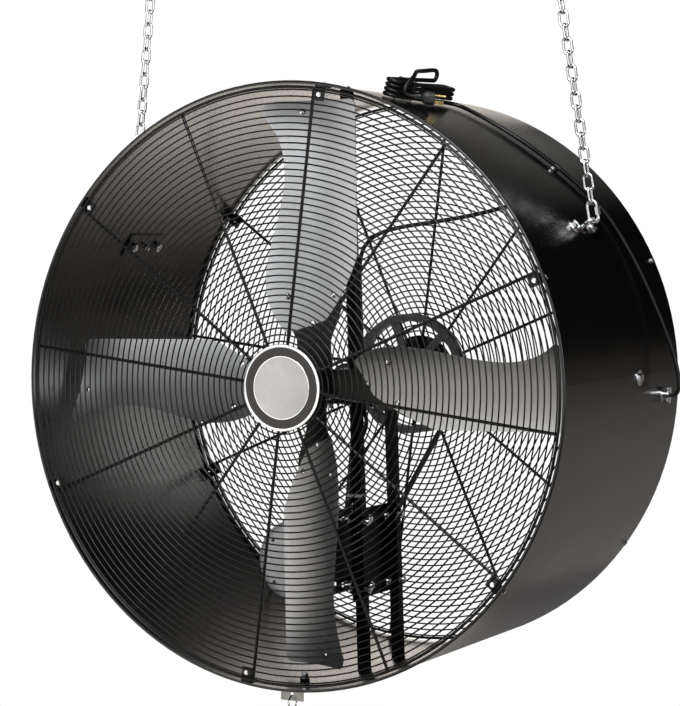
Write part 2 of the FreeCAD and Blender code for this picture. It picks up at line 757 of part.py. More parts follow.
def pillow_block(depth):
    """One bearing: housing, insert, two bolts and their nuts under the shelf."""
    half_base = bearing_base_width / 2
    base = block(-bearing_base_length / 2, bearing_base_length / 2, depth - half_base, depth + half_base,
                 shelf_top, shelf_top + bearing_base_height)
    half_housing = bearing_housing_width / 2
    barrel = rod(V(0, depth - half_housing, 0), V(0, depth + half_housing, 0), bearing_housing_radius)
    saddle = block(-bearing_housing_radius, bearing_housing_radius,
                   depth - half_housing, depth + half_housing, shelf_top, 0)
    housing = base.fuse([barrel, saddle])
    housing = housing.cut(rod(V(0, depth - half_base - 1, 0), V(0, depth + half_base + 1, 0),
                              bearing_insert_radius + seat_gap))
    half_insert = bearing_insert_width / 2
    insert = rod(V(0, depth - half_insert, 0), V(0, depth + half_insert, 0), bearing_insert_radius)
    insert = insert.cut(rod(V(0, depth - half_base, 0), V(0, depth + half_base, 0),
                            shaft_radius + running_clearance))
    bolts = []
    nuts = []
    for across in (-bearing_bolt_spacing / 2, bearing_bolt_spacing / 2):
        seat = V(across, depth, shelf_top + bearing_base_height)
        reach = bearing_base_height + shelf_thickness + nut_height + 3
        housing = housing.cut(rod(seat - axis_z * reach, seat + axis_z, bearing_bolt_radius + seat_gap))
        bolts.append(bolt(seat, axis_z, bearing_bolt_radius, reach))
        nuts.append(nut(V(across, depth, shelf_underside), -axis_z, bearing_bolt_radius, nut_height))
    return housing.removeSplitter(), insert, bolts, nuts


def bearing_shelf():
    """The plate on the posts that carries both bearings, with a notch for the motor lead."""
    front = front_post_depth - shelf_overhang
    rear = rear_post_depth + shelf_overhang
    plate = block(-shelf_half_width, shelf_half_width, front, rear, shelf_underside, shelf_top)
    notch = block(shelf_notch_across, shelf_half_width + 1, front - 1, front + shelf_notch_depth,
                  shelf_underside - 1, shelf_top + 1)
    drills = [notch]
    for depth in (front_bearing_depth, rear_bearing_depth):
        for across in (-bearing_bolt_spacing / 2, bearing_bolt_spacing / 2):
            drills.append(rod(V(across, depth, shelf_underside - 1), V(across, depth, shelf_top + 1),
                              bearing_bolt_radius + seat_gap))
    return plate.cut(drills)


# Motor mount planes
post_left = post_across - post_size / 2
plate_left = post_left - motor_plate_thickness
base_plane = motor_across + motor_foot_height
stud_places = [(depth, motor_plate_middle + step) for depth in (stud_front_depth, stud_rear_depth)
               for step in (-stud_half_spacing, stud_half_spacing)]
plate_bolt_places = [(depth, motor_plate_middle + step) for depth in (front_post_depth, rear_post_depth)
                     for step in (-stud_half_spacing, stud_half_spacing)]


def motor_shell():
    """The motor's plain barrel, open at both ends."""
    start = V(motor_across, motor_shell_front, motor_height)
    end = V(motor_across, motor_shell_rear, motor_height)
    barrel = rod(start, end, motor_radius)
    return barrel.cut(rod(start - axis_y, end + axis_y, motor_radius - motor_wall))


def motor_shaft():
    """The turning shaft, with its core inside the barrel."""
    front = V(motor_across, motor_shell_front - motor_bell_length, motor_height)
    shaft = rod(front, V(motor_across, drive_plane + sheave_width * 0.8, motor_height), motor_shaft_radius)
    core = rod(V(motor_across, motor_shell_front + motor_core_margin, motor_height),
               V(motor_across, motor_shell_rear - motor_core_margin, motor_height), motor_core_radius)
    return shaft.fuse(core).removeSplitter()


def motor_sheave():
    """The small pulley on the motor shaft."""
    wheel = grooved_wheel(motor_centre, motor_sheave_radius, sheave_width, motor_shaft_radius + seat_gap)
    return wheel


def motor_bell(face, outward):
    """A hollow end bell with a rounded edge, a bearing boss and four vents."""
    seat = V(motor_across, face + outward.y * seat_gap, motor_height)
    nose = seat + outward * motor_bell_length
    dome = rod(seat, nose, motor_radius)
    rims = [edge for edge in dome.Edges if abs(edge.BoundBox.YMax - nose.y) < 0.01
            and abs(edge.BoundBox.YMin - nose.y) < 0.01]
    dome = dome.makeFillet(motor_bell_length / 2, rims)
    boss = rod(seat, nose + outward * 5, motor_bell_nose / 2)
    slots = []
    for index in range(4):
        slot = rod(nose - outward * (2 * motor_bell_wall), nose + outward * motor_bell_wall,
                   motor_bell_wall / 2)
        slot.translate(V(0, 0, motor_radius * 0.72))
        slot.rotate(seat, axis_y, 45 + 90 * index)
        slots.append(slot)
    room_end = seat + outward * (motor_bell_length - 1.5 * motor_bell_wall)
    room = rod(seat - outward, room_end, motor_radius - motor_bell_wall)
    room = room.cut(rod(seat - outward * 2, nose, motor_bell_nose / 2))
    bell = dome.fuse(boss).cut(slots + [room])
    bore = rod(seat - outward * 10, nose + outward * 10, motor_shaft_radius + running_clearance)
    return bell.cut(bore).removeSplitter()


def motor_base():
    """A folded base: a foot plate and two saddle flanges under the barrel."""
    front = motor_base_front
    rear = motor_base_rear
    low = motor_plate_middle - motor_base_half_height
    high = motor_plate_middle + motor_base_half_height
    plate = block(base_plane - motor_base_thickness, base_plane, front, rear, low, high)
    flanges = []
    for depth in (motor_shell_front + motor_base_thickness, rear - motor_base_thickness):
        flange = block(motor_across, base_plane - motor_base_thickness, depth, depth + motor_base_thickness,
                       motor_height - motor_flange_half_height, motor_height + motor_flange_half_height)
        flanges.append(flange)
    base = plate.fuse(flanges)
    room = rod(V(motor_across, front - 1, motor_height), V(motor_across, rear + 1, motor_height),
               motor_radius + seat_gap)
    behind = base_plane - 2 * motor_base_thickness
    drills = [rod(V(behind, depth, height), V(base_plane + 1, depth, height), stud_radius + seat_gap)
              for depth, height in stud_places]
    return base.cut([room] + drills).removeSplitter()


def motor_plate():
    """The plate bolted across the two posts, which the tension studs hang on."""
    half = motor_plate_height / 2
    plate = block(plate_left, post_left, front_post_depth - post_size / 2 - motor_plate_margin,
                  rear_post_depth + post_size / 2 + motor_plate_margin,
                  motor_plate_middle - half, motor_plate_middle + half)
    drills = [rod(V(plate_left - 1, depth, height), V(post_left + 1, depth, height), stud_radius + seat_gap)
              for depth, height in stud_places + plate_bolt_places]
    return plate.cut(drills)


def tension_studs():
    """Four studs that set the belt's tension, with jack nuts on both plates."""
    studs = []
    nuts = []
    for depth, height in stud_places:
        left = V(base_plane - motor_base_thickness - stud_end_length, depth, height)
        right = V(post_left + stud_end_length, depth, height)
        studs.append(rod(left, right, stud_radius))
        seats = ((base_plane - motor_base_thickness, -axis_x), (base_plane, axis_x),
                 (plate_left, -axis_x), (post_left, axis_x))
        for across, outward in seats:
            nuts.append(nut(V(across, depth, height), outward, stud_radius, nut_height))
    return studs, nuts


def conduit_box():
    """The wiring box on the motor's shoulder."""
    half = conduit_width / 2
    box = block(motor_radius * 0.9, motor_radius + conduit_rise, conduit_front,
                conduit_front + conduit_length, -half, half)
    rims = [edge for edge in box.Edges if edge.BoundBox.XMin > motor_radius + conduit_rise - 1]
    box = box.makeFillet(4, rims)
    box = turned(box, conduit_angle)
    box.translate(V(motor_across, 0, motor_height))
    room = rod(V(motor_across, conduit_front - 1, motor_height),
               V(motor_across, conduit_front + conduit_length + 1, motor_height), motor_radius + seat_gap)
    return box.cut(room)


def hanger_plate():
    """The curved plate inside the wall that spreads the eye bolt's load."""
    half = hanger_plate_length / 2
    plate = block(seat_radius - 2 * hanger_plate_thickness, seat_radius + 1, -half, half,
                  -hanger_plate_width / 2, hanger_plate_width / 2)
    plate = plate.common(inner_cylinder(seat_radius))
    plate = plate.cut(inner_cylinder(seat_radius - hanger_plate_thickness))
    drills = [rod(V(0, 0, 0), V(drum_radius, 0, 0), eye_wire / 2 + seat_gap)]
    for depth in (-hanger_bolt_spacing / 2, hanger_bolt_spacing / 2):
        drills.append(rod(V(0, depth, 0), V(drum_radius, depth, 0), hanger_bolt_radius + seat_gap))
    return turned(plate.cut(drills), hanger_angle)


def eye_bolt():
    """The eye bolt: a ring in the plane of the wall's normal and Y, on a threaded shank."""
    centre = V(eye_reach - eye_mean_radius, 0, 0)
    ring = Part.makeTorus(eye_mean_radius, eye_wire / 2, centre, axis_z)
    neck_end = V(eye_reach - 2 * eye_mean_radius, 0, 0)
    shank = rod(V(seat_radius - hanger_plate_thickness - nut_height - 4, 0, 0), neck_end, eye_wire / 2)
    return turned(ring.fuse(shank).removeSplitter(), hanger_angle)


def hanger_fixings():
    """Two bolts beside the eye, the washers outside, and the nuts inside."""
    inside = seat_radius - hanger_plate_thickness - 0.5
    bolts = []
    nuts = []
    for depth in (-hanger_bolt_spacing / 2, hanger_bolt_spacing / 2):
        reach = wall_outer - inside + nut_height + 4
        bolts.append(wall_bolt(hanger_angle, depth, hanger_bolt_radius, reach))
        nuts.append(turned(nut(V(inside, depth, 0), -axis_x, hanger_bolt_radius, nut_height), hanger_angle))
    nuts.append(turned(nut(V(inside, 0, 0), -axis_x, eye_wire / 2, nut_height), hanger_angle))
    washer = wall_washer(hanger_angle, 0, eye_wire / 2 + seat_gap, eye_washer_radius, eye_washer_thickness)
    return bolts, nuts, washer


def chain_place(shape, along, quarter_turn):
    """Stand a link on the right-hand chain line at a distance from the eye's wire."""
    copy = shape.copy()
    if quarter_turn:
        copy.rotate(V(0, 0, 0), axis_z, 90)
    copy.rotate(V(0, 0, 0), axis_y, -chain_lean)
    copy.translate(V(eye_across - along * lean_across, 0, eye_height + along * lean_up))
    return copy


def right_chain():
    """All plain links, each a quarter turn from the one below it."""
    link = stadium_link(chain_inner_length, chain_inner_width, chain_wire)
    first = quick_top - chain_gap + chain_inner_length / 2
    return [chain_place(link, first + chain_pitch * index, index % 2 == 0) for index in range(chain_links)]


def quick_link():
    """The oval screw link between eye bolt and chain, and its sleeve nut."""
    link = stadium_link(quick_inner_length, quick_inner_width, quick_wire)
    side = (quick_inner_width + quick_wire) / 2
    start = V(side, 0, -quick_nut_length / 2)
    end = V(side, 0, quick_nut_length / 2)
    bore = rod(start - axis_z, end + axis_z, quick_wire / 2 + seat_gap)
    sleeve = prism(1.6 * quick_wire, start, end).cut(bore)
    middle = (quick_bottom + quick_top) / 2
    return chain_place(link, middle, False), chain_place(sleeve, middle, False)


def ceiling_plate():
    """The right-hand plate, with two screw holes and the eye that the chain hangs on."""
    half = ceiling_plate_length / 2
    plate = block(ceiling_eye_across - ceiling_plate_width / 2, ceiling_eye_across + ceiling_plate_width / 2,
                  -half, half, ceiling_plate_underside, ceiling_height)
    ring = Part.makeTorus(eye_mean_radius, eye_wire / 2,
                          V(ceiling_eye_across, 0, ceiling_eye_height + eye_mean_radius), axis_x)
    drills = []
    for depth in (-ceiling_hole_spacing / 2, ceiling_hole_spacing / 2):
        drills.append(rod(V(ceiling_eye_across, depth, ceiling_plate_underside - 1),
                          V(ceiling_eye_across, depth, ceiling_height + 1), ceiling_hole_radius))
    return plate.fuse(ring).cut(drills).removeSplitter()


def wall_point(angle, depth, stand_off):
    """A point above the drum's outside, or inside it where the stand-off is negative."""
    reach = wall_outer + stand_off
    return V(reach * math.cos(math.radians(angle)), depth, reach * math.sin(math.radians(angle)))


def hank_point(out, depth, lift):
    """A point beside the hank's middle: down the slope, along the drum, and off its surface."""
    angle = math.radians(hank_angle)
    normal = V(math.cos(angle), 0, math.sin(angle))
    slope = V(math.sin(angle), 0, -math.cos(angle))
    return normal * (wall_outer + lift) + slope * out + axis_y * depth


def cord_tube(name, points, radius):
    """A tube of straight runs and the largest tangent arcs that its runs allow."""
    edges = []
    radii = []
    here = points[0]
    for index in range(1, len(points) - 1):
        before = points[index - 1] - points[index]
        after = points[index + 1] - points[index]
        reach = 0.45 * min(before.Length, after.Length)
        turn = math.pi - before.getAngle(after)
        bend = reach / math.tan(turn / 2)
        radii.append(bend)
        before.normalize()
        after.normalize()
        start = points[index] + before * reach
        end = points[index] + after * reach
        inward = before + after
        inward.normalize()
        crown = points[index] + inward * (bend / math.cos(turn / 2) - bend)
        edges.append(Part.LineSegment(here, start).toShape())
        edges.append(Part.Arc(start, crown, end).toShape())
        here = end
    edges.append(Part.LineSegment(here, points[-1]).toShape())
    path = Part.Wire(edges)
    section = Part.Wire(Part.makeCircle(radius, points[0], points[1] - points[0]))
    tube = path.makePipeShell([section], True, False)
    expected = math.pi * radius ** 2 * path.Length
    print(name, "length", round(path.Length, 1), "volume ratio", round(tube.Volume / expected, 4),
          "radii", [round(bend) for bend in radii])
    return tube


def arc_from(start, control, end):
    """The arc that leaves start and reaches end along the two legs to a control point."""
    middle = (start + end) * 0.5
    leg = (control - start).Length
    half_chord = (end - start).Length / 2
    lean = math.acos(min(1.0, half_chord / leg))
    if lean < 1e-5:
        return Part.LineSegment(start, end).toShape()
    share = math.tan(lean / 2) / math.tan(lean)
    return Part.Arc(start, middle + (control - middle) * share, end).toShape()


def biarc(start, start_way, end, end_way):
    """Two tangent arcs between two points with given directions."""
    gap = end - start
    both = start_way + end_way
    spread = 2 * (1 - start_way.dot(end_way))
    if spread < 1e-9:
        if gap.cross(start_way).Length < 1e-6:
            return [Part.LineSegment(start, end).toShape()]
        leg = gap.dot(gap) / (4 * gap.dot(start_way))
    else:
        reach = gap.dot(both)
        leg = (math.sqrt(reach ** 2 + spread * gap.dot(gap)) - reach) / spread
    first = start + start_way * leg
    second = end - end_way * leg
    joint = (first + second) * 0.5
    return [arc_from(start, first, joint), arc_from(joint, second, end)]


hank_first_lift = hank_lift + cord_radius
hank_half = hank_run / 2
hank_top_lift = hank_first_lift + (hank_layers - 1) * hank_step
slope_way = hank_point(1, 0, 0) - hank_point(0, 0, 0)
normal_way = hank_point(0, 0, 1) - hank_point(0, 0, 0)


def hank_stations():
    """Points and directions round the hank; each turn climbs one layer on its uphill run."""
    rear = hank_middle_depth + hank_half
    front = hank_middle_depth - hank_half
    fold = hank_fold_radius
    stations = [(hank_point(fold, hank_start_depth, hank_first_lift), -axis_y)]
    for layer in range(hank_layers):
        lift = hank_first_lift + layer * hank_step
        stations.append((hank_point(fold, front, lift), -axis_y))
        stations.append((hank_point(0, front - fold, lift), -slope_way))
        stations.append((hank_point(-fold, front, lift), axis_y))
        if layer < hank_layers - 1:
            stations.append((hank_point(-fold, rear, lift + hank_step), axis_y))
            stations.append((hank_point(0, rear + fold, lift + hank_step), slope_way))
            stations.append((hank_point(fold, rear, lift + hank_step), -axis_y))
    stations.append((hank_point(-fold, hank_end_depth, hank_top_lift + hank_step), axis_y))
    return stations


def cord_hank():
    """The folded hank as one unbroken tube, with its least gap to itself printed."""
    stations = hank_stations()
    edges = []
    for (start, start_way), (end, end_way) in zip(stations, stations[1:]):
        edges.extend(biarc(start, start_way, end, end_way))
    path = Part.Wire(edges)
    section = Part.Wire(Part.makeCircle(cord_radius, stations[0][0], stations[0][1]))
    tube = path.makePipeShell([section], True, False)
    spacing = 4.0
    points = path.discretize(Distance=spacing)
    skip = int(math.pi * hank_fold_radius / spacing) + 1
    least = min((points[first] - points[second]).Length
                for first in range(len(points)) for second in range(first + skip, len(points)))
    expected = math.pi * cord_radius ** 2 * path.Length
    print("cord_hank length", round(path.Length, 1), "volume ratio", round(tube.Volume / expected, 4),
          "least gap to itself", round(least - cord_diameter, 2))
    return tube


# The cord's free stretches, as points chosen by hand
# Outside the drum, from the strain relief to the hank: angle, depth ahead of the relief, stand-off
cord_route_outside = (
    (-4.4, 0.0, 28.0),
    (-3.1, 0.0, 34.5),
    (-1.2, 0.5, 34.0),
    (1.2, 2.0, 30.5),
    (4.3, 5.0, 25.5),
    (9.9, 14.0, 16.0),
    (15.5, 28.0, 11.5),
    (21.3, 39.0, 9.5),
    (28.0, 46.0, 7.6),
    (34.5, 60.0, 7.6),
    (40.5, 95.0, 8.2),
    (48.5, 135.0, 8.2),
    (55.0, 153.0, 7.6),
    (60.5, 159.0, 7.4),
    (64.9, 150.0, 7.2),
    (67.1, 144.0, 6.9),
    (68.6, 151.0, 6.6))
# Inside the drum, from the strain relief towards the upper post: angle, share of the depth
# between post and relief, share of the wall's radius
motor_lead_sweep = (
    (-3.1, 0.996, 0.9385),
    (-0.6, 0.980, 0.9335),
    (3.9, 0.948, 0.9430),
    (9.9, 0.892, 0.9550),
    (17.7, 0.803, 0.9606),
    (26.4, 0.699, 0.9646),
    (34.0, 0.606, 0.9703),
    (39.4, 0.522, 0.9585),
    (42.6, 0.450, 0.9110),
    (45.1, 0.361, 0.8211),
    (50.3, 0.265, 0.7200),
    (58.5, 0.177, 0.6284),
    (69.0, 0.088, 0.5586),
    (75.9, 0.032, 0.5094))
# Then down the front posts and over to the motor's wiring box: across from the post's
# right side, depth behind the post's middle, height
motor_lead_descent = (
    (8.0, 0.0, 240.0),
    (5.3, 0.0, 185.0),
    (6.1, 0.0, 100.0),
    (5.3, 0.0, 10.0),
    (5.7, 0.0, -52.0),
    (6.0, 13.0, -80.0),
    (-6.5, 17.5, -104.0),
    (-19.5, 15.5, -128.0),
    (-25.0, 5.0, -154.0),
    (-24.5, 0.0, -192.0),
    (-26.0, 0.0, -228.0),
    (-39.5, 2.0, -252.0),
    (-66.5, 6.0, -263.0),
    (-95.5, 14.0, -268.0),
    (-114.5, 26.0, -268.0))
# From the hank's top run to the plug: down the slope, depth behind the hank's end, lift
cord_route_lead = (
    (-12.0, 10.5, 39.8),
    (-12.3, 16.0, 49.3),
    (-13.0, 10.5, 58.8),
    (-13.5, -7.0, 59.5),
    (-13.0, -39.0, 55.5),
    (-10.0, -71.0, 54.0),
    (-4.0, -99.0, 56.0),
    (1.0, -121.0, 55.0),
    (8.0, -142.0, 51.0),
    (19.0, -157.0, 44.0),
    (25.5, -165.0, 32.0),
    (26.2, -164.7, 17.9))


def outside_point(angle, ahead, stand_off):
    """A point of the cord's route up the outside of the drum."""
    return wall_point(angle, relief_depth - ahead, stand_off)


def cord_run():
    """The supply cord from its strain relief up the drum to the hank."""
    start = wall_point(relief_angle, relief_depth, relief_collar_height + relief_length)
    points = [start]
    for angle, ahead, stand_off in cord_route_outside:
        points.append(outside_point(angle, ahead, stand_off))
    hank_start = hank_stations()[0][0]
    points.append(hank_start + axis_y * 19)
    points.append(hank_start)
    return cord_tube("cord_run", points, cord_radius)


def motor_lead():
    """The cable inside the drum, down the posts to the motor's wiring box."""
    inside = drum_sheet + relief_collar_height + 3
    points = [wall_point(relief_angle, relief_depth, -inside),
              wall_point(relief_angle, relief_depth, -inside - 1.5 * cord_diameter)]
    for angle, depth_share, reach_share in motor_lead_sweep:
        depth = front_post_depth + depth_share * (relief_depth - front_post_depth)
        points.append(wall_point(angle, depth, (reach_share - 1) * wall_outer))
    post_side = post_across + post_size / 2
    for across, behind, height in motor_lead_descent:
        points.append(V(post_side + across, front_post_depth + behind, height))
    reach = motor_radius + conduit_rise / 2
    across = motor_across + reach * math.cos(math.radians(conduit_angle))
    height = motor_height + reach * math.sin(math.radians(conduit_angle))
    points.append(V(across, conduit_front - 15, height))
    points.append(V(across, conduit_front, height))
    return cord_tube("motor_lead", points, cord_radius)


# The plug's own directions: forward, sideways and up
heading = math.radians(plug_heading)
climb = math.radians(plug_climb)
level_way = slope_way * math.cos(heading) + axis_y * math.sin(heading)
plug_way = level_way * math.cos(climb) + normal_way * math.sin(climb)
plug_up = normal_way * math.cos(climb) - level_way * math.sin(climb)
plug_side = plug_up.cross(plug_way)


def plug_point(out, across, lift):
    """A point of the plug: along its axis, sideways, and up."""
    tail = hank_point(plug_out, plug_depth, plug_lift)
    return tail + plug_way * out + plug_side * across + plug_up * lift


def cord_lead():
    """The last stretch, which stands up over the hank and comes down to the plug."""
    points = [hank_stations()[-1][0]]
    for out, behind, lift in cord_route_lead:
        points.append(hank_point(out, hank_end_depth + behind, lift))
    points.append(plug_point(-8, 0, 0))
    points.append(plug_point(0, 0, 0))
    return cord_tube("cord_lead", points, cord_radius)


def plug():
    """The moulded plug: a tapering body, two flat blades and a round ground pin."""
    sections = []
    for out, share in ((0, 0.45), (plug_length * 0.5, 1.0), (plug_length, 0.96)):
        half_width = plug_width / 2 * share
        half_height = plug_height / 2 * share
        corners = [plug_point(out, -half_width, -half_height), plug_point(out, half_width, -half_height),
                   plug_point(out, half_width, half_height), plug_point(out, -half_width, half_height)]
        sections.append(Part.makePolygon(corners + corners[:1]))
    body = Part.makeLoft(sections, True, True)
    prongs = []
    middle = -ground_pin_rise / 2
    for across in (-prong_spacing / 2, prong_spacing / 2):
        left = across - prong_thickness / 2
        right = across + prong_thickness / 2
        low = middle - prong_width / 2
        high = middle + prong_width / 2
        corners = [plug_point(plug_length, left, low), plug_point(plug_length, right, low),
                   plug_point(plug_length, right, high), plug_point(plug_length, left, high)]
        section = Part.Face(Part.makePolygon(corners + corners[:1]))
        prongs.append(section.extrude(plug_way * prong_length))
    pin_start = plug_point(plug_length, 0, ground_pin_rise / 2)
    prongs.append(rod(pin_start, pin_start + plug_way * ground_pin_length, ground_pin_radius))
    return body, prongs


def hank_tie():
    """A flat band round the hank's layers."""
    inner_half = hank_fold_radius + cord_radius + moving_gap
    outer_half = inner_half + tie_thickness
    bottom = hank_lift - moving_gap
    top = hank_top_lift + cord_radius + tie_slack
    faces = []
    outline = (outer_half, bottom - tie_thickness, top + tie_thickness)
    inline = (inner_half, bottom, top)
    for half, low, high in (outline, inline):
        corners = [hank_point(-half, tie_depth, low), hank_point(half, tie_depth, low),
                   hank_point(half, tie_depth, high), hank_point(-half, tie_depth, high)]
        faces.append(Part.Face(Part.makePolygon(corners + corners[:1])))
    return faces[0].cut(faces[1]).extrude(axis_y * tie_width)


def post_tie():
    """The band that straps the motor lead to the lower front post."""
    half = post_size / 2 + seat_gap
    left = post_across - post_size / 2 - cord_diameter - 3
    low = post_tie_height
    high = post_tie_height + post_tie_width
    wrap = post_tie_thickness
    outside = block(left - wrap, post_across + half + wrap, front_post_depth - half - wrap,
                    front_post_depth + half + wrap, low, high)
    inside = block(left, post_across + half, front_post_depth - half,
                   front_post_depth + half, low - 1, high + 1)
    return outside.cut(inside)


def strain_relief():
    """A clamp connector through the wall: body, lock nut inside, and two clamp screws."""
    bore = rod(V(0, relief_depth, 0), V(2 * drum_radius, relief_depth, 0), cord_radius + seat_gap)
    inner_face = wall_inner - relief_collar_height - 3
    outer_face = wall_outer + relief_collar_height + relief_length
    barrel = rod(V(inner_face, relief_depth, 0), V(outer_face, relief_depth, 0), relief_radius)
    collar = rod(V(wall_outer + 0.3, relief_depth, 0), V(wall_outer + relief_collar_height, relief_depth, 0),
                 relief_collar_radius)
    half = relief_clamp_width / 2
    half_ear = relief_clamp_depth / 2
    ear_start = wall_outer + relief_collar_height + 2
    ear = block(ear_start, outer_face, relief_depth - half_ear, relief_depth + half_ear, -half, half)
    middle_out = (ear_start + outer_face) / 2
    stop = rod(V(wall_inner - 2, relief_depth, 0), V(wall_outer + 2, relief_depth, 0), cord_radius + 1)
    body = barrel.fuse([collar, ear]).cut(bore).fuse(stop)
    screws = []
    for height in (2 * relief_screw_radius - half, half - 2 * relief_screw_radius):
        seat = V(middle_out, relief_depth - half_ear, height)
        far_side = seat + axis_y * (2 * half_ear + 2)
        body = body.cut(rod(seat - axis_y, far_side, relief_screw_radius + seat_gap))
        screws.append(turned(bolt(seat, -axis_y, relief_screw_radius, 2 * half_ear + 2), relief_angle))
    lock_seat = wall_inner - 0.3
    lock = rod(V(lock_seat - relief_collar_height, relief_depth, 0), V(lock_seat, relief_depth, 0),
               relief_collar_radius)
    lock = lock.cut(rod(V(0, relief_depth, 0), V(drum_radius, relief_depth, 0), relief_radius + seat_gap))
    return turned(body.removeSplitter(), relief_angle), screws, turned(lock, relief_angle)


def clip_frame():
    """The middle and direction of the cord's run under its clip, and the wall angle of the clip's bolt."""
    ends = [outside_point(*cord_route_outside[index]) for index in (10, 11)]
    middle = (ends[0] + ends[1]) * 0.5
    way = ends[1] - ends[0]
    way.normalize()
    angle = math.degrees(math.atan2(middle.z, middle.x))
    return middle, way, angle


clip_middle, clip_way, cord_clip_angle = clip_frame()
cord_clip_depth = clip_middle.y - cord_clip_bolt_offset
wall_fixings.append((cord_clip_angle, cord_clip_depth, clip_bolt_radius))


def cord_clip():
    """A sheet loop round the cord with a flat tail under one bolt on the drum."""
    half = clip_way * (cord_clip_width / 2)
    bore_radius = cord_radius + moving_gap
    loop = rod(clip_middle - half, clip_middle + half, bore_radius + cord_clip_wall)
    tail = block(wall_outer + seat_gap, wall_outer + seat_gap + cord_clip_wall,
                 clip_middle.y - cord_clip_tail, clip_middle.y, -cord_clip_width / 2, cord_clip_width / 2)
    tail = turned(tail, cord_clip_angle)
    drill = turned(rod(V(wall_outer - 5, cord_clip_depth, 0), V(drum_radius + 5, cord_clip_depth, 0),
                       clip_bolt_radius + seat_gap), cord_clip_angle)
    bore = rod(clip_middle - half * 3, clip_middle + half * 3, bore_radius)
    clip = loop.fuse(tail).cut([bore, drill]).removeSplitter()
    seat = V(wall_outer + 2 * seat_gap + cord_clip_wall, cord_clip_depth, 0)
    clip_bolt = turned(bolt(seat, axis_x, clip_bolt_radius, clip_bolt_reach), cord_clip_angle)
    inside = nut(V(wall_inner - 0.3, cord_clip_depth, 0), -axis_x, clip_bolt_radius, 4)
    return clip, clip_bolt, turned(inside, cord_clip_angle)


def tether():
    """The folded bracket under the front of the drum, its bolt, spacer, nut and loose ring."""
    seat = wall_outer + seat_gap
    half = tether_plate_width / 2
    front = tether_depth - tether_plate_length * 0.7
    plate = block(seat, seat + tether_sheet, front, front + tether_plate_length, -half, half)
    tab = block(seat, seat + tether_drop, front, front + tether_sheet, -half, half)
    hole_reach = seat + tether_drop - 11
    hole = rod(V(hole_reach, front - 1, 0), V(hole_reach, front + tether_sheet + 1, 0), tether_hole_radius)
    drill = rod(V(wall_inner - 30, tether_depth, 0), V(drum_radius + 30, tether_depth, 0),
                tether_bolt_radius + seat_gap)
    bracket = plate.fuse(tab).cut([hole, drill]).removeSplitter()
    reach = tether_sheet + drum_sheet + tether_spacer_height + nut_height + 2
    tether_bolt = bolt(V(seat + tether_sheet, tether_depth, 0), axis_x, tether_bolt_radius, reach)
    spacer_top = wall_inner - seat_gap
    spacer = rod(V(spacer_top - tether_spacer_height, tether_depth, 0), V(spacer_top + 1, tether_depth, 0),
                 tether_spacer_radius)
    spacer = spacer.common(inner_cylinder(spacer_top)).cut(drill)
    inside = nut(V(spacer_top - tether_spacer_height, tether_depth, 0), -axis_x, tether_bolt_radius,
                 nut_height)
    hang = hole_reach + tether_hole_radius - tether_ring_wire / 2 - moving_gap
    ring = Part.makeTorus(tether_ring_radius, tether_ring_wire / 2,
                          V(hang + tether_ring_radius, front + tether_sheet / 2, 0), axis_z)
    pivot = turned(Part.Vertex(hang, front + tether_sheet / 2, 0), tether_angle).Point
    pieces = [turned(piece, tether_angle) for piece in (bracket, tether_bolt, spacer, inside, ring)]
    return pieces, pivot


os.makedirs("parts", exist_ok=True)

# Drum and guards
save("drum_shell", drum_shell())
front_rings, front_spokes, front_clips, front_clip_bolts, front_clip_nuts = guard(-1)
rear_rings, rear_spokes, rear_clips, rear_clip_bolts, rear_clip_nuts = guard(1)
save("front_guard", *front_rings, *front_spokes)
save("rear_guard", *rear_rings, *rear_spokes)
save("guard_clips", *front_clips, *rear_clips)
front_badge, front_back_plate, front_badge_nut = guard_disc(-1, badge_radius)
rear_disc, rear_back_plate, rear_disc_nut = guard_disc(1, rear_disc_radius)
save("front_badge", front_badge)
save("rear_centre_disc", rear_disc)
save("guard_back_plates", front_back_plate, rear_back_plate)

# Rotor
save("fan_shaft", rod(V(0, shaft_front, 0), V(0, shaft_rear, 0), shaft_radius))
save("fan_hub", hub())
upper_blade = blade()
blade_angles = [360 / blade_count * index for index in range(blade_count)]
for index, angle in enumerate(blade_angles):
    save("fan_blade_" + str(index + 1), spun(upper_blade, angle))
root_rivets = [rivet(place, rivet_grip) for place in rivet_places]
root_rivets.append(rivet(tip_rivet_place, blade_sheet + 1))
save("blade_rivets", *[spun(one, angle) for angle in blade_angles for one in root_rivets])
save("driven_sheave", driven_sheave())

# Belt drive and motor
save("drive_belt", drive_belt())
save("motor_shell", motor_shell())
save("motor_front_bell", motor_bell(motor_shell_front, -axis_y))
save("motor_rear_bell", motor_bell(motor_shell_rear, axis_y))
save("motor_shaft", motor_shaft())
save("motor_sheave", motor_sheave())
save("motor_base", motor_base())
save("motor_plate", motor_plate())
studs, stud_nuts = tension_studs()
save("tension_studs", *studs)
save("conduit_box", conduit_box())

# Frame inside the drum
past_wall = drum_radius + post_size
plate_bolt_drills = [rod(V(plate_left - 1, depth, height), V(post_across + post_size, depth, height),
                         stud_radius + seat_gap) for depth, height in plate_bolt_places]
front_lower_post = square_tube(V(post_across, front_post_depth, -past_wall),
                               V(post_across, front_post_depth, shelf_underside))
rear_post = square_tube(V(post_across, rear_post_depth, -past_wall),
                        V(post_across, rear_post_depth, shelf_underside))
save("front_lower_post", front_lower_post.cut(plate_bolt_drills))
save("rear_post", rear_post.cut(plate_bolt_drills))
save("front_upper_post", square_tube(V(post_across, front_post_depth, shelf_top),
                                     V(post_across, front_post_depth, past_wall)))
plate_bolts = []
plate_nuts = []
for depth, height in plate_bolt_places:
    plate_bolts.append(bolt(V(plate_left, depth, height), -axis_x, stud_radius,
                            motor_plate_thickness + post_size + nut_height + 3))
    plate_nuts.append(nut(V(post_left + post_size, depth, height), axis_x, stud_radius, nut_height))
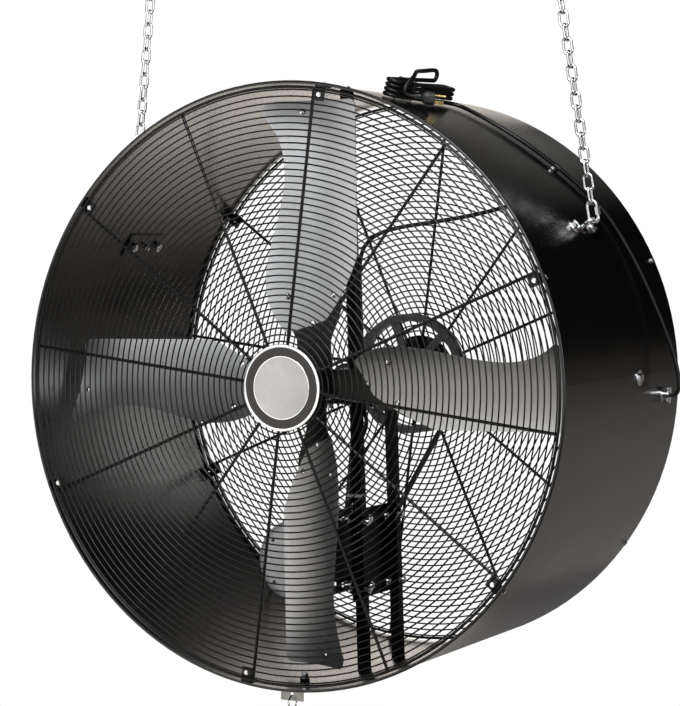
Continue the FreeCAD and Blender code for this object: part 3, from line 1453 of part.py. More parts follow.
save("bearing_shelf", bearing_shelf())
front_housing, front_insert, front_bearing_bolts, front_bearing_nuts = pillow_block(front_bearing_depth)
rear_housing, rear_insert, rear_bearing_bolts, rear_bearing_nuts = pillow_block(rear_bearing_depth)
save("bearing_housings", front_housing, rear_housing)
save("bearing_inserts", front_insert, rear_insert)
brace_start = V(brace_start_across, brace_depth, shelf_top + post_size / 2 + 2 * seat_gap)
brace_wall_point = V(seat_radius, brace_depth, brace_wall_height)
brace_way = brace_wall_point - brace_start
brace_way.normalize()
save("side_brace", square_tube(brace_start, brace_wall_point + brace_way * post_size))
foot_depths = (front_post_depth, rear_post_depth)
foot_reach = math.sqrt(seat_radius ** 2 - post_across ** 2)
wall_plugs = []
for depth in foot_depths:
    wall_plugs.append(wall_plug(V(post_across, depth, -foot_reach), -axis_z, post_foot_angle))
wall_plugs.append(wall_plug(V(post_across, front_post_depth, foot_reach), axis_z, post_roof_angle))
wall_plugs.append(wall_plug(brace_wall_point, brace_way, brace_angle))
save("tube_end_blocks", *wall_plugs)
end_reach = end_block_length * 0.8
frame_bolts = [wall_bolt(post_foot_angle, depth, end_bolt_radius, end_reach) for depth in foot_depths]
frame_bolts.append(wall_bolt(post_roof_angle, front_post_depth, end_bolt_radius, end_reach))
frame_bolts.append(wall_bolt(brace_angle, brace_depth, end_bolt_radius, end_reach))

# Hanger
right_plate = hanger_plate()
right_eye = eye_bolt()
right_bolts, right_nuts, right_washer = hanger_fixings()
right_link, right_sleeve = quick_link()
right_links = right_chain()
right_ceiling_plate = ceiling_plate()
save("hanger_plates", right_plate, mirrored(right_plate))
save("eye_bolts", right_eye, mirrored(right_eye))
save("eye_washers", right_washer, mirrored(right_washer))
save("quick_links", right_link, mirrored(right_link), right_sleeve, mirrored(right_sleeve))
save("right_chain", *right_links)
save("left_chain", *[mirrored(link) for link in right_links])
save("ceiling_plates", right_ceiling_plate, mirrored(right_ceiling_plate))

# Cord
relief_body, relief_screws, relief_lock = strain_relief()
save("strain_relief", relief_body, relief_lock, *relief_screws)
clip_sheet, clip_screw, clip_nut = cord_clip()
save("cord_clip", clip_sheet)
save("cord_run", cord_run())
save("cord_hank", cord_hank())
save("cord_lead", cord_lead())
plug_solid, plug_pins = plug()
save("plug_body", plug_solid)
save("plug_prongs", *plug_pins)
save("hank_tie", hank_tie())
save("motor_lead", motor_lead())
save("post_tie", post_tie())

# Tether
(tether_bracket, tether_screw, tether_spacer, tether_nut, tether_ring), tether_pivot = tether()
save("tether_bracket", tether_bracket)
save("tether_spacer", tether_spacer)
save("tether_ring", tether_ring)

# Fasteners of the drum, one node for each size
left_bolts = [mirrored(one) for one in right_bolts]
left_nuts = [mirrored(one) for one in right_nuts]
save("small_bolts", *front_clip_bolts, *rear_clip_bolts, clip_screw)
save("middle_bolts", *frame_bolts, tether_screw)
save("large_bolts", *front_bearing_bolts, *rear_bearing_bolts, *plate_bolts, *right_bolts, *left_bolts)
save("small_nuts", *front_clip_nuts, *rear_clip_nuts, clip_nut)
save("middle_nuts", front_badge_nut, rear_disc_nut, tether_nut)
save("large_nuts", *front_bearing_nuts, *rear_bearing_nuts, *plate_nuts, *stud_nuts, *right_nuts, *left_nuts)

print("ceiling above drum centre", round(ceiling_height, 3), "plates at", round(ceiling_eye_across, 3))
print("tilt axis", round(tilt_height - ceiling_height, 3), "fan axis", round(-ceiling_height, 3))
print("motor axis", motor_across, round(motor_height - ceiling_height, 3))
print("ring pivot", [round(value, 3) for value in tether_pivot - V(0, 0, ceiling_height)])
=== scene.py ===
import math
import bmesh
import bpy
from mathutils import Matrix, Vector


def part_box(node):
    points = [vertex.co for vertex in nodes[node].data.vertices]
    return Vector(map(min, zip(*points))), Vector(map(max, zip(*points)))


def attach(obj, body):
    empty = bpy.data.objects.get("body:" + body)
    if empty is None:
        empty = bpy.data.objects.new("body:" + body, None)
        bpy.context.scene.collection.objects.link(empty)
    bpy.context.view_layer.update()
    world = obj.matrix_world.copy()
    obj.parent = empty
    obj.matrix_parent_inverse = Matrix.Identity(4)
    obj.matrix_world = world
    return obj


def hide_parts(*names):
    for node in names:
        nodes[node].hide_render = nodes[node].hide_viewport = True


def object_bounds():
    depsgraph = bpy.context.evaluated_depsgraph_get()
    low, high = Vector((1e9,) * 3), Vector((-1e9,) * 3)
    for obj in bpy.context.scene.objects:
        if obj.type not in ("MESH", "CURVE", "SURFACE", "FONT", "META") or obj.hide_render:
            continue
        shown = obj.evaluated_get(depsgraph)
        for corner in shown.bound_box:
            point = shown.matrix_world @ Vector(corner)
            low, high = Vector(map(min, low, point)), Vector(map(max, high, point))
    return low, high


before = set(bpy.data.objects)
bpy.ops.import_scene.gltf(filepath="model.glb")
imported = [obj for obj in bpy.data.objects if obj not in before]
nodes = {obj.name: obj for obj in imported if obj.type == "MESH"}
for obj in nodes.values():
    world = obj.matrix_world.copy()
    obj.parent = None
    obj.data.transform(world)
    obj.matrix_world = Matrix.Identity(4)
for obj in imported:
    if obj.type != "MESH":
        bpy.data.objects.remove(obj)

cadBox = [list(corner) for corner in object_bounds()]
scene = bpy.context.scene
shaftLow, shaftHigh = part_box("fan_shaft")
axisHeight = (shaftLow.z + shaftHigh.z) / 2  # height of the drum's middle in the part's frame
mm = 0.001


# a point about the drum's middle, in millimetres: across, towards the rear, up
def atDrum(across, depth, height):
    return Vector((across * mm, depth * mm, height * mm + axisHeight))


# camera at the photograph's view: place and aim in millimetres about the drum's middle, roll in degrees
cameraView = {
    "place": (2001.6, -3789.0, 185.0),
    "lookAt": (-30.5, 0.0, 57.2),
    "roll": -1.761,
    "lens": 114.1,
    "sensor": 36.0,
    "shift": (0.0, -0.0043),
    "farthest": 60.0,
}
cameraData = bpy.data.cameras.new("photoCamera")
cameraData.lens = cameraView["lens"]
cameraData.sensor_width = cameraView["sensor"]
cameraData.shift_x, cameraData.shift_y = cameraView["shift"]
cameraData.clip_end = cameraView["farthest"]
cameraObject = bpy.data.objects.new("photoCamera", cameraData)
scene.collection.objects.link(cameraObject)
cameraPlace = atDrum(*cameraView["place"])
sightLine = atDrum(*cameraView["lookAt"]) - cameraPlace
cameraTurn = sightLine.to_track_quat("-Z", "Y").to_matrix()
cameraTurn = cameraTurn @ Matrix.Rotation(math.radians(cameraView["roll"]), 3, "Z")
cameraObject.matrix_world = Matrix.Translation(cameraPlace) @ cameraTurn.to_4x4()
scene.camera = cameraObject
scene.view_settings.view_transform = "Standard"
print("camera set")

noiseSpan = (0.3, 0.7)  # where most values of a noise lie


def startMaterial(name):
    material = bpy.data.materials.new(name)
    material.use_nodes = True
    tree = material.node_tree
    shader = tree.nodes["Principled BSDF"]
    coords = tree.nodes.new("ShaderNodeTexCoord")
    mapping = tree.nodes.new("ShaderNodeMapping")
    tree.links.new(coords.outputs["Object"], mapping.inputs["Vector"])
    return material, tree, shader, mapping


def noiseNode(tree, vector, scale, detail=3.0, roughness=0.55):
    noise = tree.nodes.new("ShaderNodeTexNoise")
    noise.inputs["Scale"].default_value = scale
    noise.inputs["Detail"].default_value = detail
    noise.inputs["Roughness"].default_value = roughness
    tree.links.new(vector, noise.inputs["Vector"])
    return noise.outputs["Fac"]


def rangeNode(tree, value, low, high):
    spread = tree.nodes.new("ShaderNodeMapRange")
    spread.inputs["From Min"].default_value = noiseSpan[0]
    spread.inputs["From Max"].default_value = noiseSpan[1]
    spread.inputs["To Min"].default_value = low
    spread.inputs["To Max"].default_value = high
    tree.links.new(value, spread.inputs["Value"])
    return spread.outputs["Result"]


def colourNode(tree, value, dark, pale):
    ramp = tree.nodes.new("ShaderNodeValToRGB")
    ramp.color_ramp.elements[0].position = noiseSpan[0]
    ramp.color_ramp.elements[1].position = noiseSpan[1]
    ramp.color_ramp.elements[0].color = (*dark, 1.0)
    ramp.color_ramp.elements[1].color = (*pale, 1.0)
    tree.links.new(value, ramp.inputs["Fac"])
    return ramp.outputs["Color"]


def bumpNode(tree, height, strength, distance):
    bump = tree.nodes.new("ShaderNodeBump")
    bump.inputs["Strength"].default_value = strength
    bump.inputs["Distance"].default_value = distance
    tree.links.new(height, bump.inputs["Height"])
    return bump.outputs["Normal"]


# one finish: mottled colour, uneven gloss and a fine surface grain
def finishMaterial(look):
    material, tree, shader, mapping = startMaterial(look["name"])
    mapping.inputs["Scale"].default_value = look.get("stretch", (1.0, 1.0, 1.0))
    vector = mapping.outputs["Vector"]
    mottle = noiseNode(tree, vector, look["mottle"])
    grain = noiseNode(tree, vector, look["grain"], 2.0)
    tree.links.new(colourNode(tree, mottle, look["dark"], look["pale"]), shader.inputs["Base Color"])
    tree.links.new(rangeNode(tree, mottle, *look["gloss"]), shader.inputs["Roughness"])
    tree.links.new(bumpNode(tree, grain, look["bump"], look["grainDepth"]), shader.inputs["Normal"])
    shader.inputs["Metallic"].default_value = look.get("metallic", 0.0)
    shader.inputs["Specular IOR Level"].default_value = look.get("specular", 0.5)
    return material


drumPaint = finishMaterial({
    "name": "drumPaint", "dark": (0.0016, 0.0015, 0.0014), "pale": (0.0026, 0.0024, 0.0022),
    "gloss": (0.19, 0.25), "mottle": 5.0, "grain": 420.0, "bump": 0.004, "grainDepth": 0.0004})
guardPaint = finishMaterial({
    "name": "guardPaint", "dark": (0.0022, 0.0022, 0.0022), "pale": (0.0040, 0.0040, 0.0040),
    "specular": 0.28, "gloss": (0.12, 0.18), "mottle": 14.0, "grain": 900.0, "bump": 0.05,
    "grainDepth": 0.0003})
framePaint = finishMaterial({
    "name": "framePaint", "dark": (0.0018, 0.0018, 0.0018), "pale": (0.0034, 0.0034, 0.0034),
    "specular": 0.07, "gloss": (0.30, 0.42), "mottle": 9.0, "grain": 600.0, "bump": 0.08,
    "grainDepth": 0.0004})
motorPaint = finishMaterial({
    "name": "motorPaint", "dark": (0.004, 0.004, 0.004), "pale": (0.007, 0.007, 0.007), "specular": 0.25,
    "gloss": (0.22, 0.32), "mottle": 11.0, "grain": 500.0, "bump": 0.06, "grainDepth": 0.0004})
hubPaint = finishMaterial({
    "name": "hubPaint", "dark": (0.004, 0.004, 0.004), "pale": (0.008, 0.008, 0.008), "specular": 0.35,
    "gloss": (0.28, 0.40), "mottle": 16.0, "grain": 420.0, "bump": 0.2, "grainDepth": 0.0006})
castGrey = finishMaterial({
    "name": "castGrey", "dark": (0.085, 0.085, 0.084), "pale": (0.13, 0.13, 0.128),
    "gloss": (0.42, 0.60), "mottle": 22.0, "grain": 340.0, "bump": 0.35, "grainDepth": 0.0008})
castBlack = finishMaterial({
    "name": "castBlack", "dark": (0.014, 0.014, 0.014), "pale": (0.024, 0.024, 0.024),
    "gloss": (0.36, 0.52), "mottle": 22.0, "grain": 340.0, "bump": 0.35, "grainDepth": 0.0008})
groundSteel = finishMaterial({
    "name": "groundSteel", "dark": (0.40, 0.40, 0.41), "pale": (0.52, 0.52, 0.53), "metallic": 1.0,
    "gloss": (0.22, 0.34), "mottle": 30.0, "grain": 260.0, "stretch": (1.0, 6.0, 1.0), "bump": 0.08,
    "grainDepth": 0.0003})
zincPlate = finishMaterial({
    "name": "zincPlate", "dark": (0.66, 0.68, 0.70), "pale": (0.84, 0.85, 0.87), "metallic": 1.0,
    "gloss": (0.06, 0.14), "mottle": 60.0, "grain": 800.0, "bump": 0.12, "grainDepth": 0.0003})
dullZinc = finishMaterial({
    "name": "dullZinc", "dark": (0.20, 0.20, 0.20), "pale": (0.32, 0.32, 0.315), "metallic": 1.0,
    "gloss": (0.30, 0.45), "mottle": 50.0, "grain": 700.0, "bump": 0.15, "grainDepth": 0.0003})
bellAluminium = finishMaterial({
    "name": "bellAluminium", "dark": (0.52, 0.52, 0.53), "pale": (0.64, 0.64, 0.65), "metallic": 0.35,
    "gloss": (0.40, 0.55), "mottle": 26.0, "grain": 420.0, "bump": 0.3, "grainDepth": 0.0006})
beltRubber = finishMaterial({
    "name": "beltRubber", "dark": (0.012, 0.012, 0.012), "pale": (0.024, 0.023, 0.022),
    "gloss": (0.55, 0.75), "mottle": 40.0, "grain": 900.0, "bump": 0.3, "grainDepth": 0.0005})
cordRubber = finishMaterial({
    "name": "cordRubber", "dark": (0.0035, 0.0035, 0.0035), "pale": (0.007, 0.007, 0.007), "specular": 0.3,
    "gloss": (0.30, 0.42), "mottle": 45.0, "grain": 1100.0, "bump": 0.18, "grainDepth": 0.0004})
plugPlastic = finishMaterial({
    "name": "plugPlastic", "dark": (0.010, 0.010, 0.010), "pale": (0.017, 0.017, 0.017),
    "gloss": (0.36, 0.50), "mottle": 50.0, "grain": 1400.0, "bump": 0.2, "grainDepth": 0.0003})
prongBrass = finishMaterial({
    "name": "prongBrass", "dark": (0.62, 0.45, 0.19), "pale": (0.82, 0.64, 0.32), "metallic": 1.0,
    "gloss": (0.16, 0.30), "mottle": 90.0, "grain": 900.0, "bump": 0.08, "grainDepth": 0.0002})
tiePlastic = finishMaterial({
    "name": "tiePlastic", "dark": (0.010, 0.010, 0.010), "pale": (0.016, 0.016, 0.016),
    "gloss": (0.34, 0.46), "mottle": 70.0, "grain": 1200.0, "bump": 0.15, "grainDepth": 0.0003})
paleTie = finishMaterial({
    "name": "paleTie", "dark": (0.42, 0.42, 0.40), "pale": (0.55, 0.55, 0.53),
    "gloss": (0.36, 0.48), "mottle": 70.0, "grain": 1200.0, "bump": 0.15, "grainDepth": 0.0003})
badgeBand = finishMaterial({
    "name": "badgeBand", "dark": (0.011, 0.008, 0.007), "pale": (0.016, 0.012, 0.010),
    "gloss": (0.34, 0.44), "mottle": 30.0, "grain": 900.0, "bump": 0.08, "grainDepth": 0.0002})
badgeSilver = finishMaterial({
    "name": "badgeSilver", "dark": (0.50, 0.49, 0.48), "pale": (0.58, 0.57, 0.56), "metallic": 0.25,
    "gloss": (0.34, 0.44), "mottle": 30.0, "grain": 700.0, "bump": 0.06, "grainDepth": 0.0002})

# rolled sheet: streaks run along each blade, so the pattern turns with the blade
bladeLook = {"dark": (0.50, 0.51, 0.52), "pale": (0.60, 0.612, 0.625), "metallic": 1.0, "gloss": (0.34, 0.42),
             "mottle": 14.0, "grain": 240.0, "stretch": (1.0, 1.0, 0.05), "bump": 0.06, "grainDepth": 0.0003}
bladeUpright = finishMaterial({**bladeLook, "name": "bladeUpright"})
bladeLevel = finishMaterial({**bladeLook, "name": "bladeLevel", "stretch": (0.05, 1.0, 1.0)})


def dress(material, *names):
    for name in names:
        part = nodes[name]
        if not part.material_slots:
            part.data.materials.append(material)
        for place in part.material_slots:
            place.material = material


dress(drumPaint, "drum_shell", "hanger_plates")
dress(guardPaint, "guard_clips", "guard_back_plates", "rear_centre_disc")
dress(framePaint, "front_lower_post", "rear_post", "front_upper_post", "side_brace", "bearing_shelf",
      "tube_end_blocks", "motor_plate", "motor_base", "tether_spacer")
dress(motorPaint, "motor_shell", "motor_rear_bell", "conduit_box")
dress(hubPaint, "fan_hub")
dress(castGrey, "driven_sheave", "motor_sheave")
dress(castBlack, "bearing_housings")
dress(groundSteel, "fan_shaft", "motor_shaft", "bearing_inserts")
dress(zincPlate, "ceiling_plates", "right_chain", "left_chain", "quick_links", "eye_bolts", "eye_washers",
      "strain_relief", "small_bolts", "middle_bolts", "large_bolts", "small_nuts", "middle_nuts",
      "large_nuts", "tension_studs", "blade_rivets", "tether_ring")
dress(dullZinc, "tether_bracket")
dress(bellAluminium, "motor_front_bell")
dress(beltRubber, "drive_belt")
dress(prongBrass, "plug_prongs")
dress(tiePlastic, "hank_tie", "cord_clip")
dress(paleTie, "post_tie")
dress(bladeUpright, "fan_blade_1", "fan_blade_3")
dress(bladeLevel, "fan_blade_2", "fan_blade_4")
print("materials set")

# where the cords sit: millimetres, and degrees round the drum from its right side
drumWall = 548.5  # outside of the sheet
hankSpot = {"angle": 70.5, "fold": 12.0, "front": -177.0, "rear": 41.0, "layers": 4, "firstLift": 5.7,
            "step": 8.5, "start": 6.0, "end": -5.0, "leadIn": 19.0, "levelFrom": 60.0}
reliefSpot = {"angle": -4.4, "depth": 195.0, "mouth": 17.0, "innerEnd": -8.5, "innerTurn": -20.5}
plugSpot = {"out": 38.0, "depth": -162.0, "lift": 13.5, "heading": 33.0, "climb": 8.0, "straight": 15.0}
cableLook = {"radius": 0.004, "stepsAlong": 6, "stepsRound": 4}  # radius in metres


def onWall(angle, depth, standOff):
    reach = drumWall + standOff
    return atDrum(reach * math.cos(math.radians(angle)), depth, reach * math.sin(math.radians(angle)))


hankTurn = math.radians(hankSpot["angle"])
offWall = Vector((math.cos(hankTurn), 0.0, math.sin(hankTurn)))
downSlope = Vector((math.sin(hankTurn), 0.0, -math.cos(hankTurn)))


def onHank(out, depth, lift):
    place = offWall * (drumWall + lift) + downSlope * out
    return atDrum(place.x, depth, place.z)


plugHeading = math.radians(plugSpot["heading"])
plugClimb = math.radians(plugSpot["climb"])
plugLevel = downSlope * math.cos(plugHeading) + Vector((0.0, math.sin(plugHeading), 0.0))
plugWay = plugLevel * math.cos(plugClimb) + offWall * math.sin(plugClimb)
plugUp = offWall * math.cos(plugClimb) - plugLevel * math.sin(plugClimb)
plugSide = plugUp.cross(plugWay)
plugTail = onHank(plugSpot["out"], plugSpot["depth"], plugSpot["lift"])

# from the strain relief up the drum: angle, depth ahead of the relief, stand-off
runRoute = (
    (reliefSpot["angle"], 0.0, reliefSpot["mouth"]), (reliefSpot["angle"], 0.0, 28.0), (-3.1, 0.0, 34.5),
    (-1.2, 0.5, 34.0), (1.2, 2.0, 30.5), (4.3, 5.0, 25.5), (9.9, 14.0, 16.0), (15.5, 28.0, 11.5),
    (21.3, 39.0, 9.5), (28.0, 46.0, 7.6), (34.5, 60.0, 7.6), (40.5, 95.0, 8.2), (48.5, 135.0, 8.2),
    (55.0, 153.0, 7.6), (60.5, 159.0, 7.4), (64.9, 150.0, 7.2), (67.1, 144.0, 6.9), (68.6, 151.0, 6.6))
# from the hank's top run to the plug: down the slope, depth behind the hank's end, lift
leadRoute = (
    (-12.0, 10.5, 39.8), (-12.3, 16.0, 49.3), (-13.0, 10.5, 58.8), (-13.5, -7.0, 59.0), (-13.0, -39.0, 55.0),
    (-9.0, -71.0, 53.5), (0.0, -97.0, 53.5), (9.0, -118.0, 51.5), (17.5, -137.0, 46.5), (21.5, -154.0, 40.0),
    (22.5, -167.0, 31.0), (22.0, -171.5, 20.0))

cordPoints = [onWall(angle, reliefSpot["depth"] - ahead, off) for angle, ahead, off in runRoute]
fold = hankSpot["fold"]
foldLean = fold * math.tan(math.radians(22.5))  # corners of the eight-sided line round a fold


# half a turn round a fold's middle: side is 1 at the hank's front and -1 at its rear
def addFold(middle, side, lift):
    corners = ((fold, foldLean), (fold, -foldLean), (foldLean, -fold),
               (-foldLean, -fold), (-fold, -foldLean), (-fold, foldLean))
    for out, behind in corners:
        cordPoints.append(onHank(side * out, middle + side * behind, lift))


cordPoints.append(onHank(fold, hankSpot["start"] + hankSpot["leadIn"], hankSpot["firstLift"]))
cordPoints.append(onHank(fold, hankSpot["start"], hankSpot["firstLift"]))
for layer in range(hankSpot["layers"]):
    lift = hankSpot["firstLift"] + layer * hankSpot["step"]
    cordPoints.append(onHank(fold, hankSpot["front"] + hankSpot["levelFrom"], lift))
    addFold(hankSpot["front"], 1, lift)
    if layer < hankSpot["layers"] - 1:
        addFold(hankSpot["rear"], -1, lift + hankSpot["step"])
topLift = hankSpot["firstLift"] + hankSpot["layers"] * hankSpot["step"]
cordPoints.append(onHank(-fold, hankSpot["end"], topLift))
for out, behind, lift in leadRoute:
    cordPoints.append(onHank(out, hankSpot["end"] + behind, lift))
cordPoints.append(plugTail - plugWay * (plugSpot["straight"] * mm))
cordPoints.append(plugTail)


def cableCurve(name, points):
    curve = bpy.data.curves.new(name, "CURVE")
    curve.dimensions = "3D"
    spline = curve.splines.new("NURBS")
    spline.points.add(len(points) - 1)
    for knot, point in zip(spline.points, points):
        knot.co = (*point, 1.0)
    spline.order_u = 3
    spline.use_endpoint_u = True
    spline.resolution_u = cableLook["stepsAlong"]
    curve.resolution_u = cableLook["stepsAlong"]
    curve.bevel_depth = cableLook["radius"]
    curve.bevel_resolution = cableLook["stepsRound"]
    curve.use_fill_caps = True
    curve.materials.append(cordRubber)
    cable = bpy.data.objects.new(name, curve)
    scene.collection.objects.link(cable)
    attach(cable, "drum")
    return cable


supplyCord = cableCurve("supplyCord", cordPoints)
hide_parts("cord_run", "cord_hank", "cord_lead")

# the motor's cable round the wall: angle, shares of the way from post to relief and of the wall's radius
sweepRoute = (
    (-3.1, 0.996, 0.9385), (-0.6, 0.980, 0.9335), (3.9, 0.948, 0.9430), (9.9, 0.892, 0.9550),
    (17.7, 0.803, 0.9606), (26.4, 0.699, 0.9646), (34.0, 0.606, 0.9703), (39.4, 0.522, 0.9585),
    (42.6, 0.450, 0.9110), (45.1, 0.361, 0.8211), (50.3, 0.265, 0.7200), (58.5, 0.177, 0.6284),
    (69.0, 0.088, 0.5586), (75.9, 0.032, 0.5094))
# then down the front post to the wiring box: across and depth from the post, height
descentRoute = (
    (8.0, 0.0, 240.0), (5.3, 0.0, 185.0), (6.1, 0.0, 100.0), (5.3, 0.0, 10.0), (5.7, 0.0, -52.0),
    (6.0, 13.0, -80.0), (-6.5, 17.5, -104.0), (-19.5, 15.5, -128.0), (-25.0, 5.0, -154.0),
    (-24.5, 0.0, -192.0), (-26.0, 0.0, -228.0), (-39.5, 2.0, -252.0), (-66.5, 6.0, -263.0),
    (-95.5, 14.0, -268.0), (-114.5, 26.0, -268.0))
postSpot = {"side": 39.5, "depth": -54.0}
wiringBox = {"motorAcross": -126.0, "motorHeight": -349.0, "reach": 94.0, "angle": 62.0, "leadIn": -15.0}
wiringTurn = math.radians(wiringBox["angle"])
wiringAcross = wiringBox["motorAcross"] + wiringBox["reach"] * math.cos(wiringTurn)
wiringHeight = wiringBox["motorHeight"] + wiringBox["reach"] * math.sin(wiringTurn)
leadPoints = [onWall(reliefSpot["angle"], reliefSpot["depth"], reliefSpot["innerEnd"]),
              onWall(reliefSpot["angle"], reliefSpot["depth"], reliefSpot["innerTurn"])]
for angle, depthShare, reachShare in sweepRoute:
    depth = postSpot["depth"] + depthShare * (reliefSpot["depth"] - postSpot["depth"])
    leadPoints.append(onWall(angle, depth, (reachShare - 1) * drumWall))
for across, behind, height in descentRoute:
    leadPoints.append(atDrum(postSpot["side"] + across, postSpot["depth"] + behind, height))
leadPoints.append(atDrum(wiringAcross, wiringBox["leadIn"], wiringHeight))
leadPoints.append(atDrum(wiringAcross, 0.0, wiringHeight))
motorCable = cableCurve("motorCable", leadPoints)
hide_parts("motor_lead")


def addPiece(name, shape, materials, sharpness):
    bmesh.ops.recalc_face_normals(shape, faces=shape.faces)
    data = bpy.data.meshes.new(name)
    shape.to_mesh(data)
    shape.free()
    for material in materials:
        data.materials.append(material)
    for face in data.polygons:
        face.use_smooth = True
    data.set_sharp_from_angle(angle=math.radians(sharpness))
    piece = bpy.data.objects.new(name, data)
    scene.collection.objects.link(piece)
    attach(piece, "drum")
    return piece


# the plug's moulded body, grown station by station from a rounded square: distance, half width, half height
plugBody = {"corner": 0.62, "cornerSteps": 5, "sharp": 50.0, "stations": (
    (0.0, 4.7, 4.7), (1.4, 5.4, 5.4), (3.6, 5.4, 5.4), (4.4, 4.7, 4.7), (6.0, 4.8, 4.8), (7.0, 5.7, 5.7),
    (9.2, 5.8, 5.8), (10.0, 5.0, 5.0), (11.6, 5.2, 5.2), (13.4, 7.6, 7.2), (17.5, 10.6, 10.0),
    (22.0, 12.2, 11.6), (26.0, 12.5, 12.0), (33.0, 12.0, 11.5), (36.0, 12.0, 11.5), (37.0, 11.2, 10.7))}
plugShape = bmesh.new()
bmesh.ops.create_grid(plugShape, x_segments=1, y_segments=1, size=mm)
bmesh.ops.bevel(plugShape, geom=plugShape.verts[:], offset=plugBody["corner"] * mm, affect="VERTICES",
                segments=plugBody["cornerSteps"], profile=0.5, material=-1)
plugEnd = plugShape.faces[:][0]
lastStation = (0.0, 1.0, 1.0)
for station in plugBody["stations"]:
    if station[0] > 0:
        grown = bmesh.ops.extrude_face_region(plugShape, geom=[plugEnd])["geom"]
        plugEnd = [part for part in grown if isinstance(part, bmesh.types.BMFace)][0]
    growth = (station[1] / lastStation[1], station[2] / lastStation[2], 1.0)
    bmesh.ops.scale(plugShape, vec=growth, verts=plugEnd.verts[:])
    bmesh.ops.translate(plugShape, vec=(0.0, 0.0, (station[0] - lastStation[0]) * mm), verts=plugEnd.verts[:])
    lastStation = station
plugTurn = Matrix((plugSide, plugUp, plugWay)).transposed().to_4x4()
bmesh.ops.transform(plugShape, matrix=Matrix.Translation(plugTail) @ plugTurn, verts=plugShape.verts[:])
plugPiece = addPiece("plugBody", plugShape, [plugPlastic], plugBody["sharp"])
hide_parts("plug_body")
print("cords laid")

weldReach = 0.00001  # metres


# a profile of (radius, distance) turned about its axis, which then points along the given way
def turnedShape(profile, steps, place, way):
    shape = bmesh.new()
    corners = [shape.verts.new((radius * mm, 0.0, distance * mm)) for radius, distance in profile]
    edges = [shape.edges.new(pair) for pair in zip(corners, corners[1:])]
    bmesh.ops.spin(shape, geom=corners + edges, axis=(0.0, 0.0, 1.0), cent=(0.0, 0.0, 0.0),
                   angle=2 * math.pi, steps=steps, use_merge=True)
    bmesh.ops.remove_doubles(shape, verts=shape.verts[:], dist=weldReach)
    turn = way.to_track_quat("Z", "Y").to_matrix().to_4x4()
    bmesh.ops.transform(shape, matrix=Matrix.Translation(place) @ turn, verts=shape.verts[:])
    return shape


# the badge: a plain silver disc in a dark band, with a bright rim and its stud behind
badge = {"profile": ((0.0, 1.1), (55.6, 1.1), (56.2, 1.3), (57.2, 1.3), (57.8, 1.0), (73.4, 1.0), (74.4, 1.5),
                     (77.4, 1.5), (78.6, 1.2), (79.0, 0.6), (78.8, 0.0), (4.0, 0.0), (4.0, -20.0),
                     (0.0, -20.0)),
         "thickness": 1.5, "silverTo": 55.9, "bandFrom": 57.6, "bandTo": 73.8, "steps": 96, "sharp": 20.0}
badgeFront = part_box("front_badge")[0].y
badgeBack = Vector((0.0, badgeFront + badge["thickness"] * mm, axisHeight))
badgeShape = turnedShape(badge["profile"], badge["steps"], badgeBack, Vector((0.0, -1.0, 0.0)))
for face in badgeShape.faces:
    middle = face.calc_center_median()
    reach = math.hypot(middle.x, middle.z - axisHeight) / mm
    if reach <= badge["silverTo"]:
        face.material_index = 0
    elif badge["bandFrom"] < reach < badge["bandTo"]:
        face.material_index = 1
    else:
        face.material_index = 2
badgeFinishes = [badgeSilver, badgeBand, zincPlate]
badgePiece = addPiece("frontBadge", badgeShape, badgeFinishes, badge["sharp"])
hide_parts("front_badge")
print("badge made")

# the wire guards: rings welded on round spokes, with a heavier ring at the rim
guardWires = {"wire": 3.0, "rimWire": 5.6, "spokeWire": 6.2, "firstRing": 60.2, "pitch": 11.9, "rings": 41,
              "rim": 541.0, "spokeFrom": 25.0, "spokes": 12, "phase": 21.2, "sides": 8, "leastSteps": 48,
              "stepEvery": 4.0, "sharp": 60.0}


# each ring is spun by itself and then joined, because a spin in a large mesh is slow
def addRing(shape, reach, wire, depth):
    ring = bmesh.new()
    bmesh.ops.create_circle(ring, segments=guardWires["sides"], radius=wire / 2 * mm,
                            matrix=Matrix.Translation((reach * mm, depth, axisHeight)))
    steps = guardWires["leastSteps"] + int(reach / guardWires["stepEvery"])
    bmesh.ops.spin(ring, geom=ring.verts[:] + ring.edges[:], axis=(0.0, 1.0, 0.0),
                   cent=(0.0, 0.0, axisHeight), angle=2 * math.pi, steps=steps, use_merge=True)
    ringMesh = bpy.data.meshes.new("ring")
    ring.to_mesh(ringMesh)
    ring.free()
    shape.from_mesh(ringMesh)
    bpy.data.meshes.remove(ringMesh)


def addSpoke(shape, turn, depth):
    length = guardWires["rim"] - guardWires["spokeFrom"]
    middle = (guardWires["rim"] + guardWires["spokeFrom"]) / 2
    place = Matrix.Translation((0.0, depth, axisHeight)) @ Matrix.Rotation(-turn, 4, "Y")
    place = place @ Matrix.Translation((middle * mm, 0.0, 0.0)) @ Matrix.Rotation(math.radians(90), 4, "Y")
    radius = guardWires["spokeWire"] / 2 * mm
    bmesh.ops.create_cone(shape, cap_ends=True, segments=guardWires["sides"], radius1=radius, radius2=radius,
                          depth=length * mm, matrix=place)


def guardPiece(name, node, face, inward):
    shape = bmesh.new()
    ringDepth = face + inward * guardWires["wire"] / 2 * mm
    spokeDepth = ringDepth + inward * (guardWires["wire"] + guardWires["spokeWire"]) / 2 * mm
    for ring in range(guardWires["rings"]):
        addRing(shape, guardWires["firstRing"] + ring * guardWires["pitch"], guardWires["wire"], ringDepth)
    addRing(shape, guardWires["rim"], guardWires["rimWire"], ringDepth)
    for spoke in range(guardWires["spokes"]):
        addSpoke(shape, math.radians(guardWires["phase"] + 360 / guardWires["spokes"] * spoke), spokeDepth)
    piece = addPiece(name, shape, [guardPaint], guardWires["sharp"])
    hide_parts(node)


